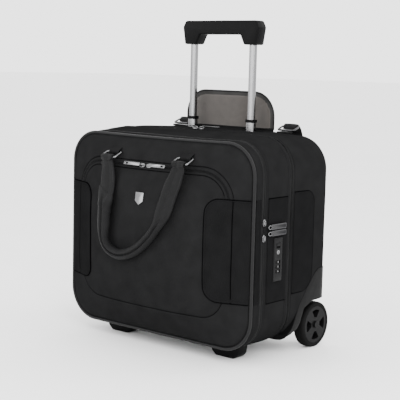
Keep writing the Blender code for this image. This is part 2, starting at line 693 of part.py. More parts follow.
def lock(finishes, middle):
    """The lock: a housing let into the side, three dials, a key barrel and a release slide."""
    low = (HALF_WIDTH + GAP, LOCK_Y - LOCK_WIDTH / 2, LOCK_LOW_Z)
    high = (LOCK_FACE_X, LOCK_Y + LOCK_WIDTH / 2, LOCK_HIGH_Z)
    housing = place("lock_housing", block(low, high), finishes["lock"], middle)
    bevel(housing, 0.0008, 1)
    combine(housing, block((0.2030, LOCK_Y - 0.0090, LOCK_LOW_Z + 0.0050),
                           (0.2170, LOCK_Y + 0.0090, LOCK_HIGH_Z - 0.0050)), "UNION")
    seat = DIAL_RADIUS + GAP
    for k, z in enumerate(DIAL_ZS):
        h = DIAL_HEIGHT / 2 + GAP
        combine(housing, block((DIAL_X - seat, LOCK_Y - seat, z - h), (0.23, LOCK_Y + seat, z + h)),
                "DIFFERENCE")
        spin = pivot(f"dial_{k + 1}_pivot", (DIAL_X, LOCK_Y, z), middle)
        dial = place(f"lock_dial_{k + 1}", rod((DIAL_X, LOCK_Y, z), DIAL_RADIUS, DIAL_HEIGHT, "Z", 20),
                     finishes["dial"], spin)
        bevel(dial, 0.0004, 1)
    combine(housing, rod((LOCK_FACE_X, LOCK_Y, KEY_Z), 0.0043, 0.006, "X", 24), "DIFFERENCE")
    barrel = place("lock_key_barrel", rod((LOCK_FACE_X - 0.0012, LOCK_Y, KEY_Z), 0.0040, 0.003, "X", 24),
                   finishes["chrome"], middle)
    combine(barrel, block((LOCK_FACE_X - 0.0012, LOCK_Y - 0.0004, KEY_Z - 0.0024),
                          (LOCK_FACE_X + 0.001, LOCK_Y + 0.0004, KEY_Z + 0.0024)), "DIFFERENCE")
    track_low = (LOCK_FACE_X - 0.0022, LOCK_Y - 0.0053, RELEASE_Z - 0.0062)
    track_high = (0.23, LOCK_Y + 0.0053, RELEASE_Z + 0.0040)
    combine(housing, block(track_low, track_high), "DIFFERENCE")
    slide = pivot("lock_release_slide", (LOCK_FACE_X, LOCK_Y, RELEASE_Z), middle)
    button = place("lock_release", block((LOCK_FACE_X - 0.0019, LOCK_Y - 0.0050, RELEASE_Z - 0.0020),
                                         (LOCK_FACE_X + 0.0003, LOCK_Y + 0.0050, RELEASE_Z + 0.0037)),
                   finishes["plastic"], slide)
    bevel(button, 0.0005, 1)


# ---------------------------------------------------------------- zips

def slider_and_pull(name, seat, along, normal, finishes, section):
    """A zip slider on its tape and the pull that hinges on it.

    seat is the point on the fabric under the slider, along the direction in which the pull
    lies, and normal the direction out of the fabric.
    """
    along, normal = Vector(along), Vector(normal)
    across = normal.cross(along)
    turn = Matrix((along, across, normal)).transposed().to_4x4()
    slide = pivot(name + "_slide", seat, section)
    long, wide, proud = SLIDER
    lift = 0.0005
    centre = Vector(seat) + normal * (lift + proud / 2)
    slider = place(name + "_slider", tilted_block(centre, (long, wide, proud - 0.0014), turn),
                   finishes["chrome"], slide)
    bevel(slider, 0.0010, 2)
    hinge_at = centre + along * 0.0040 + normal * (proud / 2 + 0.0006)
    hinge = pivot(name + "_pull_hinge", hinge_at, slide)
    middle = hinge_at + along * (PULL_LENGTH / 2 - PULL_THICKNESS / 2)
    pull = place(name + "_pull", tilted_block(middle, (PULL_LENGTH, PULL_WIDTH, PULL_THICKNESS), turn),
                 finishes["chrome"], hinge)
    eye = hinge_at + along * (PULL_LENGTH - 0.008)
    combine(pull, tilted_block(eye, (0.005, PULL_WIDTH * 0.45, 0.01), turn), "DIFFERENCE")
    bevel(pull, 0.0006, 2)


def zips(finishes, middle, lid):
    """Two sliders with pulls on each of the three zips."""
    seat_z = POCKET_HIGH_Z - ZIP_BAND / 2
    lean = front_lean(0, seat_z)
    out = (0, -math.cos(lean), math.sin(lean))
    top = TOP_Z + TOP_CROWN
    for x, way, word in zip(TAPE_SLIDERS_X, (-1, 1), ("left", "right")):
        slider_and_pull("pocket_zip_" + word, (x, front_y(0, seat_z), seat_z), (way, 0, 0), out,
                        finishes, lid)
        slider_and_pull("rear_zip_" + word, (x, REAR_ZIP_Y, top), (way, 0, 0), (0, 0, 1),
                        finishes, None)
    for z, word, rise in zip(MAIN_SLIDERS_Z, ("upper", "lower"), SIDE_TAB_RISES):
        side_slider(word, z, LOCK_HIGH_Z + rise, finishes, middle)


def side_slider(word, z, pull_z, finishes, middle):
    """A slider of the main zip, at the side, with the tab that reaches back over the lock."""
    name = "main_zip_" + word
    slide = pivot(name + "_slide", (HALF_WIDTH, MAIN_ZIP_Y, z), middle)
    long, wide, tall = SLIDER
    low = (HALF_WIDTH + 0.0005, MAIN_ZIP_Y - wide / 2, z - long / 2)
    high = (HALF_WIDTH + tall - 0.0008, MAIN_ZIP_Y + wide / 2, z + long / 2)
    slider = place(name + "_slider", block(low, high), finishes["chrome"], slide)
    bevel(slider, 0.0010, 2)
    x = LOCK_FACE_X + 0.0018
    hinge = pivot(name + "_pull_hinge", (x, MAIN_ZIP_Y + 0.0085, pull_z), slide)
    tab = place(name + "_pull", block((x - 0.0011, MAIN_ZIP_Y + 0.0060, pull_z - 0.0046),
                                      (x + 0.0011, MAIN_ZIP_Y + 0.0610, pull_z + 0.0046)),
                finishes["pull"], hinge)
    combine(tab, block((x - 0.01, MAIN_ZIP_Y + 0.049, pull_z - 0.0022),
                       (x + 0.01, MAIN_ZIP_Y + 0.055, pull_z + 0.0022)), "DIFFERENCE")
    bevel(tab, 0.0006, 1)


# ---------------------------------------------------------------- carry handles

def ring_loop(x, y, z, width, reach, drop):
    """A ring with a straight bar on the swing axis and an end reaching out from it."""
    half, r = width / 2, 0.004
    along = Vector((0, reach, drop))
    unit = along.normalized()
    corner = [(0, 0), (1, 0), (1, 1), (0, 1)]
    points = []
    for k, (u, v) in enumerate(corner):
        centre = Vector(((-half + r) if u == 0 else (half - r), 0, 0))
        base = r if v == 0 else along.length - r
        for i in range(4):
            a = math.radians(180 + 90 * k + 30 * i)
            points.append(Vector((x, y, z)) + centre + unit * base
                          + Vector((r * math.cos(a), 0, 0)) + unit * (r * math.sin(a)))
    return wire([tuple(p) for p in points], RING_WIRE, closed=True)


def front_handle(finishes, lid):
    """The front handle: rings, two flat straps, and the wrapped grip that hangs to the left."""
    swing = pivot("front_handle_swing", (0, FRONT_RING_Y, FRONT_RING_Z), lid)
    tab_z = FRONT_RING_Z + FRONT_TAB_RISE
    for side, word in ((-1, "left"), (1, "right")):
        x = side * FRONT_RING_X
        lean = front_lean(x, tab_z)
        proud = FRONT_TAB[1] / 2 + 0.0010
        centre = (x, front_y(x, tab_z) - proud * math.cos(lean), tab_z + proud * math.sin(lean))
        place("front_ring_tab_" + word, tilted_block(centre, FRONT_TAB, Matrix.Rotation(-lean, 4, "X")),
              finishes["strap"], lid)
        place("front_ring_" + word, ring_loop(x, FRONT_RING_Y, FRONT_RING_Z, RING_WIDTH,
                                              -FRONT_RING_REACH, -FRONT_RING_DROP),
              finishes["chrome"], swing)
    left = [(-0.0845, -0.1412, 0.3335), (-0.0800, -0.1425, 0.3240), (-0.0775, -0.1440, 0.3085),
            (-0.0772, -0.1450, 0.2907), (-0.0766, -0.1480, 0.2760), (-0.0755, -0.1525, 0.2620)]
    right = [(0.0870, -0.1410, 0.3337), (0.0860, -0.1425, 0.3270), (0.0808, -0.1443, 0.3120),
             (0.0745, -0.1470, 0.2945), (0.0677, -0.1510, 0.2686), (0.0578, -0.1550, 0.2424)]
    widths = [0.028, 0.031, 0.034, 0.034, 0.034, 0.034]
    for word, path in (("left", left), ("right", right)):
        strap("front_strap_" + word, path, widths, (0, -1, 0), finishes["strap"], swing)
    hand = smooth_path([(-0.0757, 0, 0.2595), (-0.0752, 0, 0.2450), (-0.0757, 0, 0.2290),
                        (-0.0760, 0, 0.2091), (-0.0730, 0, 0.1930), (-0.0640, 0, 0.1808),
                        (-0.0485, 0, 0.1740), (-0.0328, 0, 0.1726), (-0.0150, 0, 0.1765),
                        (0.0025, 0, 0.1845), (0.0195, 0, 0.1962), (0.0370, 0, 0.2125),
                        (0.0485, 0, 0.2265), (0.0560, 0, 0.2400)], 3)
    roll = wire(hand, GRIP_ROLL_RADIUS)
    roll.transform(Matrix.Translation((0, GRIP_ROLL_Y, 0))
                   @ Matrix.Diagonal((1, GRIP_ROLL_FLATNESS, 1, 1)))
    place("front_handle_grip", roll, finishes["strap"], swing)


def rear_handle(finishes, case):
    """The rear handle: rings at the back of the top, and a strap that hangs behind."""
    swing = pivot("rear_handle_swing", (0, REAR_RING_Y, REAR_RING_Z), case)
    for side, word in ((-1, "left"), (1, "right")):
        x = side * REAR_RING_X
        low = (x - REAR_TAB_HALF_WIDTH, REAR_RING_Y - 0.011, REAR_TAB_LOW_Z)
        high = (x + REAR_TAB_HALF_WIDTH, REAR_RING_Y + 0.006, REAR_RING_Z - RING_WIRE - GAP)
        place("rear_ring_tab_" + word, block(low, high), finishes["strap"], case)
        place("rear_ring_" + word, ring_loop(x, REAR_RING_Y, REAR_RING_Z, REAR_RING_WIDTH,
                                             REAR_RING_REACH, REAR_RING_DROP),
              finishes["chrome"], swing)
    side_path = [(0.127, 0.1262, 0.4000), (0.127, 0.1310, 0.3975), (0.127, 0.1345, 0.3900),
                 (0.127, 0.1360, 0.3700), (0.124, 0.1360, 0.3350), (0.110, 0.1360, 0.3030),
                 (0.080, 0.1360, 0.2850), (0.040, 0.1360, 0.2800), (0.0, 0.1360, 0.2790)]
    path = side_path[:-1] + [(-x, y, z) for x, y, z in reversed(side_path)]
    widths = [0.036] * len(path)
    strap("rear_strap", path, widths, (0, 1, 0.35), finishes["strap"], swing)


def main():
    clear_scene()
    finishes = make_finishes()
    middle = pivot("middle_hinge", (0, REAR_ZIP_Y, BASE_Z))
    lid = pivot("lid_hinge", (0, MAIN_ZIP_Y, BASE_Z), middle)
    rear_section(finishes, None)
    middle_section(finishes, middle)
    front_section(finishes, lid)
    for side, word in ((-1, "left"), (1, "right")):
        wheel_side(finishes, None, side, word)
    trolley(finishes, None)
    flap(finishes)
    lock(finishes, middle)
    zips(finishes, middle, lid)
    front_handle(finishes, lid)
    rear_handle(finishes, None)


main()
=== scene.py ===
"""Looks of the rolling laptop case: padded fabric, straps, zips, metal and plastic finishes.

Metres, +Z up, the front faces -Y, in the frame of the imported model.
"""
import json
import math

import bmesh
import bpy
from mathutils import Matrix, Vector, noise


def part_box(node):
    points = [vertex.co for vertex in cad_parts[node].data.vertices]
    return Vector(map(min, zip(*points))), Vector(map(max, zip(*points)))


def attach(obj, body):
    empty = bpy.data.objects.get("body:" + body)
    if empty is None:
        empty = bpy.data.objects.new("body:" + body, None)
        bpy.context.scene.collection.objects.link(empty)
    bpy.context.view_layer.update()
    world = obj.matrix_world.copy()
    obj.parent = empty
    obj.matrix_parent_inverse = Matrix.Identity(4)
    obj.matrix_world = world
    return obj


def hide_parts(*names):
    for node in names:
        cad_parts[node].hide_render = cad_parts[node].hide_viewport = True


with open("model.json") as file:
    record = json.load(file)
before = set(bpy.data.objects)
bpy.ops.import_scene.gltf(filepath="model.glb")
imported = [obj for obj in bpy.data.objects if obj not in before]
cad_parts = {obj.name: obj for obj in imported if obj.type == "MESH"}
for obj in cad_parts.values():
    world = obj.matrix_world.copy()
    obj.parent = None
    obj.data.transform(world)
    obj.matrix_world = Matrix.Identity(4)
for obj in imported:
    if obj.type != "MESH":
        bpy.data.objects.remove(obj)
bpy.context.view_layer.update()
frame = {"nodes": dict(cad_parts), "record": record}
NODES = frame["nodes"]

# ---------------------------------------------------------------- sizes from the frame

REAR_LOW, REAR_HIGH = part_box("rear_shell")
LID_LOW, LID_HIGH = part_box("lid_shell")
HALF_WIDTH = REAR_HIGH.x
BASE_Z = REAR_LOW.z
TOP_CROWN = 0.006
TOP_Z = REAR_HIGH.z - TOP_CROWN
CORNER_RADIUS = 0.058
REAR_ZIP_Y = REAR_LOW.y
MAIN_ZIP_Y = LID_HIGH.y
FACE_Y = LID_LOW.y
BACK_Y = REAR_HIGH.y
BACK_EDGE_RADIUS = 0.025
WALL = 0.0035
ZIP_GAP = 0.0003  # between the two sides of a closed zip

# The padded front.
BULGE = 0.054
BULGE_MIDDLE_Z, BULGE_HALF_HEIGHT = 0.205, 0.179
POCKET_HALF_WIDTH = 0.182
POCKET_LOW_Z, POCKET_HIGH_Z = 0.066, 0.337
POCKET_CORNER = 0.060
ZIP_BAND = 0.014
PIPING_RADIUS = 0.0028
FRONT_EDGE_Y = FACE_Y - 0.0040  # where the padded front starts, level with the piping
SLOPE_LOW_Z = 0.260  # where the top's slope to the front begins

# Where the zips' tapes end, and the finishes of a section's cloth, tape and lining.
REAR_TAPE_Y, LID_TAPE_Y = 0.0155, -0.0750
SHELL_FINISHES = ["case_fabric", "zip_tape", "lining"]

# The smooth dark patches that wrap round the sides.
PATCH_INNER_X = 0.135
PATCH_Z = (0.112, 0.2865)
PATCH_LIFT = 0.0009


# ---------------------------------------------------------------- materials

def node_of(tree, kind, **inputs):
    """A shader node with some of its inputs set."""
    made = tree.nodes.new(kind)
    for key, value in inputs.items():
        made.inputs[key.replace("_", " ")].default_value = value
    return made


def base_material(name, colour, roughness, metallic=0.0, **sockets):
    """A Principled material, its node tree, its shader and the object's coordinates."""
    made = bpy.data.materials.new(name)
    made.use_nodes = True
    tree = made.node_tree
    shader = tree.nodes["Principled BSDF"]
    shader.inputs["Base Color"].default_value = (*colour, 1.0)
    shader.inputs["Roughness"].default_value = roughness
    shader.inputs["Metallic"].default_value = metallic
    for key, value in sockets.items():
        shader.inputs[key.replace("_", " ")].default_value = value
    where = tree.nodes.new("ShaderNodeTexCoord")
    return made, tree, shader, where.outputs["Object"]


def mottle(tree, shader, where, colour, spread, scale, detail=3.0, stretch=(1, 1, 1)):
    """Vary the base colour softly between a darker and a lighter tone."""
    turn = node_of(tree, "ShaderNodeMapping", Scale=stretch)
    cloud = node_of(tree, "ShaderNodeTexNoise", Scale=scale, Detail=detail)
    ramp = tree.nodes.new("ShaderNodeValToRGB")
    ramp.color_ramp.elements[0].position = 0.3
    ramp.color_ramp.elements[1].position = 0.7
    ramp.color_ramp.elements[0].color = (*[c * (1 - spread) for c in colour], 1)
    ramp.color_ramp.elements[1].color = (*[c * (1 + spread) for c in colour], 1)
    tree.links.new(where, turn.inputs["Vector"])
    tree.links.new(turn.outputs["Vector"], cloud.inputs["Vector"])
    tree.links.new(cloud.outputs["Fac"], ramp.inputs["Fac"])
    tree.links.new(ramp.outputs["Color"], shader.inputs["Base Color"])
    return cloud


def vary_roughness(tree, shader, where, low, high, scale):
    """Vary the roughness softly between two values."""
    cloud = node_of(tree, "ShaderNodeTexNoise", Scale=scale, Detail=4.0)
    spread = node_of(tree, "ShaderNodeMapRange", To_Min=low, To_Max=high)
    tree.links.new(where, cloud.inputs["Vector"])
    tree.links.new(cloud.outputs["Fac"], spread.inputs["Value"])
    tree.links.new(spread.outputs["Result"], shader.inputs["Roughness"])


def bump_with(tree, shader, height, strength, distance):
    """Feed a height into the shader's normal."""
    bump = node_of(tree, "ShaderNodeBump", Strength=strength, Distance=distance)
    tree.links.new(height, bump.inputs["Height"])
    tree.links.new(bump.outputs["Normal"], shader.inputs["Normal"])


def added(tree, first, second, weight):
    """first + second * weight."""
    total = tree.nodes.new("ShaderNodeMath")
    total.operation = "MULTIPLY_ADD"
    total.inputs[1].default_value = weight
    tree.links.new(second, total.inputs[0])
    tree.links.new(first, total.inputs[2])
    return total.outputs["Value"]


def threads(tree, where, pitch, turn=(0, 0, 0)):
    """The height of crossed threads: waves along all three axes, so that any face shows two."""
    mapped = node_of(tree, "ShaderNodeMapping", Rotation=turn)
    tree.links.new(where, mapped.inputs["Vector"])
    height = None
    for axis in ("X", "Y", "Z"):
        wave = node_of(tree, "ShaderNodeTexWave", Scale=math.tau / (20 * pitch), Distortion=0.4,
                       Detail=1.0)
        wave.bands_direction = axis
        tree.links.new(mapped.outputs["Vector"], wave.inputs["Vector"])
        height = wave.outputs["Fac"] if height is None else added(tree, height, wave.outputs["Fac"], 1.0)
    return height


def woven(name, colour, roughness, pitch, strength=0.5, sheen=0.0, spread=0.12, coat=0.0,
          specular=0.03):
    """Woven cloth: threads, slubs and a soft change of tone."""
    made, tree, shader, where = base_material(
        name, colour, roughness, Sheen_Weight=sheen, Sheen_Roughness=0.45, Coat_Weight=coat,
        Coat_Roughness=0.45, Specular_IOR_Level=specular)
    mottle(tree, shader, where, colour, spread, 38.0)
    slub = node_of(tree, "ShaderNodeTexNoise", Scale=900.0, Detail=2.0)
    tree.links.new(where, slub.inputs["Vector"])
    height = added(tree, threads(tree, where, pitch), slub.outputs["Fac"], 0.7)
    bump_with(tree, shader, height, strength, pitch * 0.25)
    return made


def webbing(name, colour, roughness, pitch, strength=0.6):
    """Ribbed webbing: one strong rib across a fine one."""
    made, tree, shader, where = base_material(name, colour, roughness, Sheen_Weight=0.0,
                                              Sheen_Roughness=0.4, Specular_IOR_Level=0.07)
    mottle(tree, shader, where, colour, 0.15, 60.0)
    height = added(tree, threads(tree, where, pitch), threads(tree, where, pitch * 0.5, (0.6, 0, 0.6)),
                   0.5)
    bump_with(tree, shader, height, strength, pitch * 0.3)
    return made


def suede(name, colour):
    """Short brushed nap with soft patches."""
    made, tree, shader, where = base_material(name, colour, 0.95, Sheen_Weight=0.25,
                                              Sheen_Roughness=0.6, Specular_IOR_Level=0.05)
    mottle(tree, shader, where, colour, 0.13, 70.0, 6.0)
    nap = node_of(tree, "ShaderNodeTexNoise", Scale=1500.0, Detail=3.0)
    tree.links.new(where, nap.inputs["Vector"])
    bump_with(tree, shader, nap.outputs["Fac"], 0.5, 0.0003)
    return made


def moulded(name, colour, roughness, grain=700.0, strength=0.15):
    """Moulded plastic or rubber with a fine spark-eroded grain."""
    made, tree, shader, where = base_material(name, colour, roughness, Specular_IOR_Level=0.04)
    mottle(tree, shader, where, colour, 0.10, 25.0)
    vary_roughness(tree, shader, where, roughness - 0.06, roughness + 0.08, 60.0)
    cells = node_of(tree, "ShaderNodeTexVoronoi", Scale=grain)
    tree.links.new(where, cells.inputs["Vector"])
    bump_with(tree, shader, cells.outputs["Distance"], strength, 0.0002)
    return made


def metal(name, colour, roughness, stretch=(1, 1, 1), strength=0.08):
    """Metal with fine drawn lines along one direction and faint handling marks."""
    made, tree, shader, where = base_material(name, colour, roughness, 1.0)
    lines = mottle(tree, shader, where, colour, 0.06, 900.0, 2.0, stretch)
    vary_roughness(tree, shader, where, max(roughness - 0.05, 0.03), roughness + 0.08, 45.0)
    bump_with(tree, shader, lines.outputs["Fac"], strength, 0.0001)
    return made


BLACK_TONE = (0.0082, 0.0082, 0.0084)
FINISHES = {
    "case_fabric": woven("case fabric", BLACK_TONE, 0.82, 0.0007, specular=0.0),
    "patch": woven("patch cloth", (0.0060, 0.0060, 0.0062), 0.88, 0.0011, 0.7, specular=0.0),
    "zip_tape": webbing("zip tape", (0.0066, 0.0066, 0.0068), 0.85, 0.0008),
    "piping": woven("piping", (0.0066, 0.0066, 0.0068), 0.50, 0.0004, 0.2, 0.0, 0.05, 0.02, 0.08),
    "strap_fabric": webbing("strap webbing", (0.0052, 0.0052, 0.0054), 0.62, 0.0010),
    "thread": webbing("thread", (0.0190, 0.0190, 0.0195), 0.55, 0.0003),
    "lining": woven("lining cloth", (0.0300, 0.0290, 0.0280), 0.85, 0.0006, 0.3, 0.10),
    "suede": suede("flap lining", (0.0350, 0.0303, 0.0270)),
    "board": moulded("board", (0.0120, 0.0120, 0.0120), 0.70, 400.0),
    "moulded_plastic": moulded("moulded plastic", (0.0022, 0.0022, 0.0023), 0.50),
    "gloss_plastic": moulded("gloss plastic", (0.0040, 0.0040, 0.0042), 0.30, 900.0, 0.05),
    "tyre": moulded("tyre", (0.0038, 0.0038, 0.0038), 0.80, 500.0, 0.3),
    "tube_alloy": metal("tube alloy", (0.17, 0.17, 0.173), 0.26, (1, 1, 0.02)),
    "steel": metal("steel", (0.20, 0.20, 0.21), 0.40),
    "chrome": metal("chrome", (0.125, 0.125, 0.128), 0.20),
    "dull_chrome": metal("dull chrome", (0.045, 0.045, 0.046), 0.28),
    "zip_tab": metal("pull tab", (0.017, 0.017, 0.018), 0.45),
    "teeth": moulded("zip teeth", (0.0050, 0.0050, 0.0052), 0.62, 900.0, 0.05),
    "lock_body": moulded("lock body", (0.0058, 0.0058, 0.0060), 0.42),
    "lock_dial": moulded("lock dial", (0.0060, 0.0060, 0.0060), 0.40),
    # Near-black cloth for the seam lines: painted shade in the grooves along the patches' edges, the
    # pocket's seams and its folds.
    "edge": woven("painted seam shade", (0.0012, 0.0012, 0.0013), 0.95, 0.0006, 0.3, specular=0.0),
    "tab_rim": metal("pull tab rim", (0.036, 0.036, 0.038), 0.35),
    "digit": moulded("dial digits", (0.20, 0.20, 0.20), 0.60, 900.0, 0.02),
    "rim": woven("flap rim", (0.022, 0.0215, 0.021), 0.7, 0.0006, 0.3, 0.1),
}


# ---------------------------------------------------------------- making pieces

def new_piece(name, verts, faces, finishes, body, kinds=None, sharp=40.0):
    """A smooth-shaded mesh piece riding on a body.

    finishes is one or more keys of FINISHES, and kinds the finish's number for each face.
    """
    finishes = [finishes] if isinstance(finishes, str) else finishes
    mesh = bpy.data.meshes.new(name)
    mesh.from_pydata([tuple(v) for v in verts], [], faces)
    for key in finishes:
        mesh.materials.append(FINISHES[key])
    if kinds is not None:
        mesh.polygons.foreach_set("material_index", kinds)
    work = bmesh.new()
    work.from_mesh(mesh)
    bmesh.ops.recalc_face_normals(work, faces=work.faces)
    work.to_mesh(mesh)
    work.free()
    mesh.shade_smooth()
    mesh.set_sharp_from_angle(angle=math.radians(sharp))
    piece = bpy.data.objects.new(name, mesh)
    bpy.context.scene.collection.objects.link(piece)
    return mounted(piece, finishes[0], body)


def mounted(piece, finish, body):
    """Let the piece ride on its body."""
    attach(piece, body)
    return piece


def loft(loops, closed=True, first=0):
    """Faces between neighbouring loops of equal length."""
    count = len(loops[0])
    faces = []
    for row in range(len(loops) - 1):
        a, b = first + row * count, first + (row + 1) * count
        for i in range(count if closed else count - 1):
            j = (i + 1) % count
            faces.append((a + i, a + j, b + j, b + i))
    return faces


def cut_away(piece, cutters):
    """Cut closed helper meshes out of a piece, for good."""
    helpers = []
    for mesh in cutters:
        helper = bpy.data.objects.new("cutter", mesh)
        bpy.context.scene.collection.objects.link(helper)
        step = piece.modifiers.new("cut", "BOOLEAN")
        step.object = helper
        helpers.append(helper)
    graph = bpy.context.evaluated_depsgraph_get()
    mesh = bpy.data.meshes.new_from_object(piece.evaluated_get(graph))
    piece.modifiers.clear()
    piece.data = mesh
    for helper in helpers:
        bpy.data.objects.remove(helper)


def prism(outline, low_x, high_x):
    """A closed mesh: an outline in (y, z) between two values of x."""
    work = bmesh.new()
    near = [work.verts.new((low_x, y, z)) for y, z in outline]
    far = [work.verts.new((high_x, y, z)) for y, z in outline]
    for i in range(len(outline)):
        j = (i + 1) % len(outline)
        work.faces.new((near[i], near[j], far[j], far[i]))
    work.faces.new(near)
    work.faces.new(far)
    bmesh.ops.recalc_face_normals(work, faces=work.faces)
    mesh = bpy.data.meshes.new("prism")
    work.to_mesh(mesh)
    work.free()
    return mesh


def refined(node, finish, bevel, segments=2):
    """A smooth-edged copy of a CAD node that stands for it."""
    source = NODES[node]
    mesh = source.data.copy()
    work = bmesh.new()
    work.from_mesh(mesh)
    work.transform(source.matrix_world)
    bmesh.ops.remove_doubles(work, verts=work.verts, dist=2e-6)
    bmesh.ops.dissolve_limit(work, angle_limit=math.radians(1.5), verts=work.verts, edges=work.edges)
    work.to_mesh(mesh)
    work.free()
    piece = bpy.data.objects.new(node + "_finished", mesh)
    bpy.context.scene.collection.objects.link(piece)
    mesh.materials.clear()
    mesh.materials.append(FINISHES[finish])
    mesh.shade_smooth()
    mesh.set_sharp_from_angle(angle=math.radians(60))
    if bevel:
        step = piece.modifiers.new("edges", "BEVEL")
        step.width = bevel
        step.segments = segments
        step.limit_method = "ANGLE"
        step.angle_limit = math.radians(30)
        step.harden_normals = True
    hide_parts(node)
    return mounted(piece, finish, body_with(node))


def body_with(node):
    """The name of the body that carries a CAD node."""
    for body, nodes in frame["record"]["behaviour"]["bodies"].items():
        if node in nodes:
            return body
    raise ValueError(node)


def wobble(point, size, height):
    """A soft random offset that depends only on the place."""
    return noise.noise(Vector(point) / size) * height


# ---------------------------------------------------------------- outlines

def arc(centre, radius, start, end, steps):
    """Points on an arc, without its end, angles in degrees."""
    points = []
    for i in range(steps):
        a = math.radians(start + (end - start) * i / steps)
        points.append((centre[0] + radius * math.cos(a), centre[1] + radius * math.sin(a)))
    return points


def run(start, end, steps, crown=0.0):
    """Points on a straight side, without its end, rising by crown in the middle."""
    points = []
    for i in range(steps):
        t = i / steps
        rise = crown * (1 - (2 * t - 1) ** 2)
        points.append((start[0] + (end[0] - start[0]) * t, start[1] + (end[1] - start[1]) * t + rise))
    return points


LONG_STEPS, TALL_STEPS, CORNER_STEPS = 56, 44, 14


def round_outline(half, low, high, radius, crown=0.0):
    """A rounded rectangle from the front, counter-clockwise from the bottom left."""
    r = radius
    return (run((-half + r, low), (half - r, low), LONG_STEPS)
            + arc((half - r, low + r), r, -90, 0, CORNER_STEPS)
            + run((half, low + r), (half, high - r), TALL_STEPS)
            + arc((half - r, high - r), r, 0, 90, CORNER_STEPS)
            + run((half - r, high), (-half + r, high), LONG_STEPS, crown)
            + arc((-half + r, high - r), r, 90, 180, CORNER_STEPS)
            + run((-half, high - r), (-half, low + r), TALL_STEPS)
            + arc((-half + r, low + r), r, 180, 270, CORNER_STEPS))


def case_outline(inset=0.0):
    """The case's outline."""
    return round_outline(HALF_WIDTH - inset, BASE_Z + inset, TOP_Z - inset, CORNER_RADIUS - inset,
                         TOP_CROWN)


def pocket_outline(inset):
    """The zip's outline round the front pocket, or one further in."""
    return round_outline(POCKET_HALF_WIDTH - inset, POCKET_LOW_Z + inset, POCKET_HIGH_Z - inset,
                         max(POCKET_CORNER - inset, 0.012))


def foot_outline(spread):
    """From the zip's outline at 0 to the piping at 1."""
    edge = 0.003
    half = POCKET_HALF_WIDTH + spread * (HALF_WIDTH - edge - POCKET_HALF_WIDTH)
    low = POCKET_LOW_Z + spread * (BASE_Z + edge - POCKET_LOW_Z)
    high = POCKET_HIGH_Z + spread * (TOP_Z - edge - POCKET_HIGH_Z)
    radius = POCKET_CORNER + spread * (CORNER_RADIUS - edge - POCKET_CORNER)
    return round_outline(half, low, high, radius, spread * TOP_CROWN)


def side_distance(x, z, half, low, high, radius):
    """How far a point is outside a rounded rectangle, negative inside."""
    qx = abs(x) - half + radius
    qz = abs(z - (low + high) / 2) - (high - low) / 2 + radius
    return math.hypot(max(qx, 0.0), max(qz, 0.0)) + min(max(qx, qz), 0.0) - radius


def smooth(t):
    """Ease from 0 to 1."""
    t = min(max(t, 0.0), 1.0)
    return t * t * (3 - 2 * t)


def groove(distance, width, depth):
    """A soft seam line."""
    return depth * math.exp(-(distance / width) ** 2)


# ---------------------------------------------------------------- the padded front

def front_y(x, z):
    """The front's smooth surface: highest in the middle, and flat at the piping."""
    u = min(abs(x) / HALF_WIDTH, 1.0)
    v = min(abs(z - BULGE_MIDDLE_Z) / BULGE_HALF_HEIGHT, 1.0)
    height = (1 - u ** 2.5) * (1 - v ** 3)
    return FACE_Y - ZIP_GAP - BULGE * height + (FRONT_EDGE_Y - FACE_Y) * (1 - height) ** 3


def front_normal(x, z):
    """The direction out of the front's surface."""
    step = 0.002
    dx = (front_y(x + step, z) - front_y(x - step, z)) / (2 * step)
    dz = (front_y(x, z + step) - front_y(x, z - step)) / (2 * step)
    return Vector((dx, -1.0, dz)).normalized()


def front_seams(x, z):
    """How deep the seams pull the front's cloth in."""
    zip_edge = side_distance(x, z, POCKET_HALF_WIDTH, POCKET_LOW_Z, POCKET_HIGH_Z, POCKET_CORNER)
    panel_edge = side_distance(x, z, POCKET_HALF_WIDTH - ZIP_BAND, POCKET_LOW_Z + ZIP_BAND,
                               POCKET_HIGH_Z - ZIP_BAND, POCKET_CORNER - ZIP_BAND)
    above = smooth((z - PATCH_Z[0]) / 0.01)
    depth = groove(zip_edge, 0.0013, 0.0022) * above + groove(panel_edge, 0.0012, 0.0020)
    band = smooth(-zip_edge / 0.003) * smooth(panel_edge / 0.003) * smooth((z - PATCH_Z[1]) / 0.01)
    return depth + 0.0004 * band


def front_point(x, z, lift=0.0):
    """A point on the front's cloth, seams and slight unevenness included."""
    y = front_y(x, z) + front_seams(x, z) - wobble((x, 0.0, z), 0.055, 0.0010) - lift
    return (x, y, z)


SLOPE = [  # y, the rise of the top at its ends and the further rise in its middle
    (FRONT_EDGE_Y, -0.0045, -0.0075), (-0.069, -0.0010, -0.0070), (-0.010, 0.0035, -0.0045),
    (REAR_ZIP_Y, 0.0035, -0.0035), (0.050, 0.0025, -0.0025), (0.090, 0.0003, -0.0003),
    (BACK_Y, 0.0, 0.0)]


def sloped(x, y, z):
    """A height after the top's slope: lower at the front, most so in its middle."""
    ends, middle = SLOPE[0][1:] if y < SLOPE[0][0] else SLOPE[-1][1:]
    for (y0, end0, middle0), (y1, end1, middle1) in zip(SLOPE, SLOPE[1:]):
        if y0 <= y <= y1:
            t = (y - y0) / (y1 - y0)
            ends, middle = end0 + (end1 - end0) * t, middle0 + (middle1 - middle0) * t
    share = min(max((z - SLOPE_LOW_Z) / (TOP_Z - SLOPE_LOW_Z), 0.0), 1.0)
    inward = max(1 - (x / (HALF_WIDTH - CORNER_RADIUS)) ** 2, 0.0)
    return z + share * share * (ends + middle * inward)


def fabric_ring(points, y):
    """A loop of the case's cloth at one depth, slightly uneven."""
    loop = []
    for x, z in points:
        away = Vector((x, 0, z - 0.2)).normalized() * wobble((x, y, z), 0.07, 0.0007)
        loop.append((x + away.x, y, sloped(x, y, z + away.z)))
    return loop


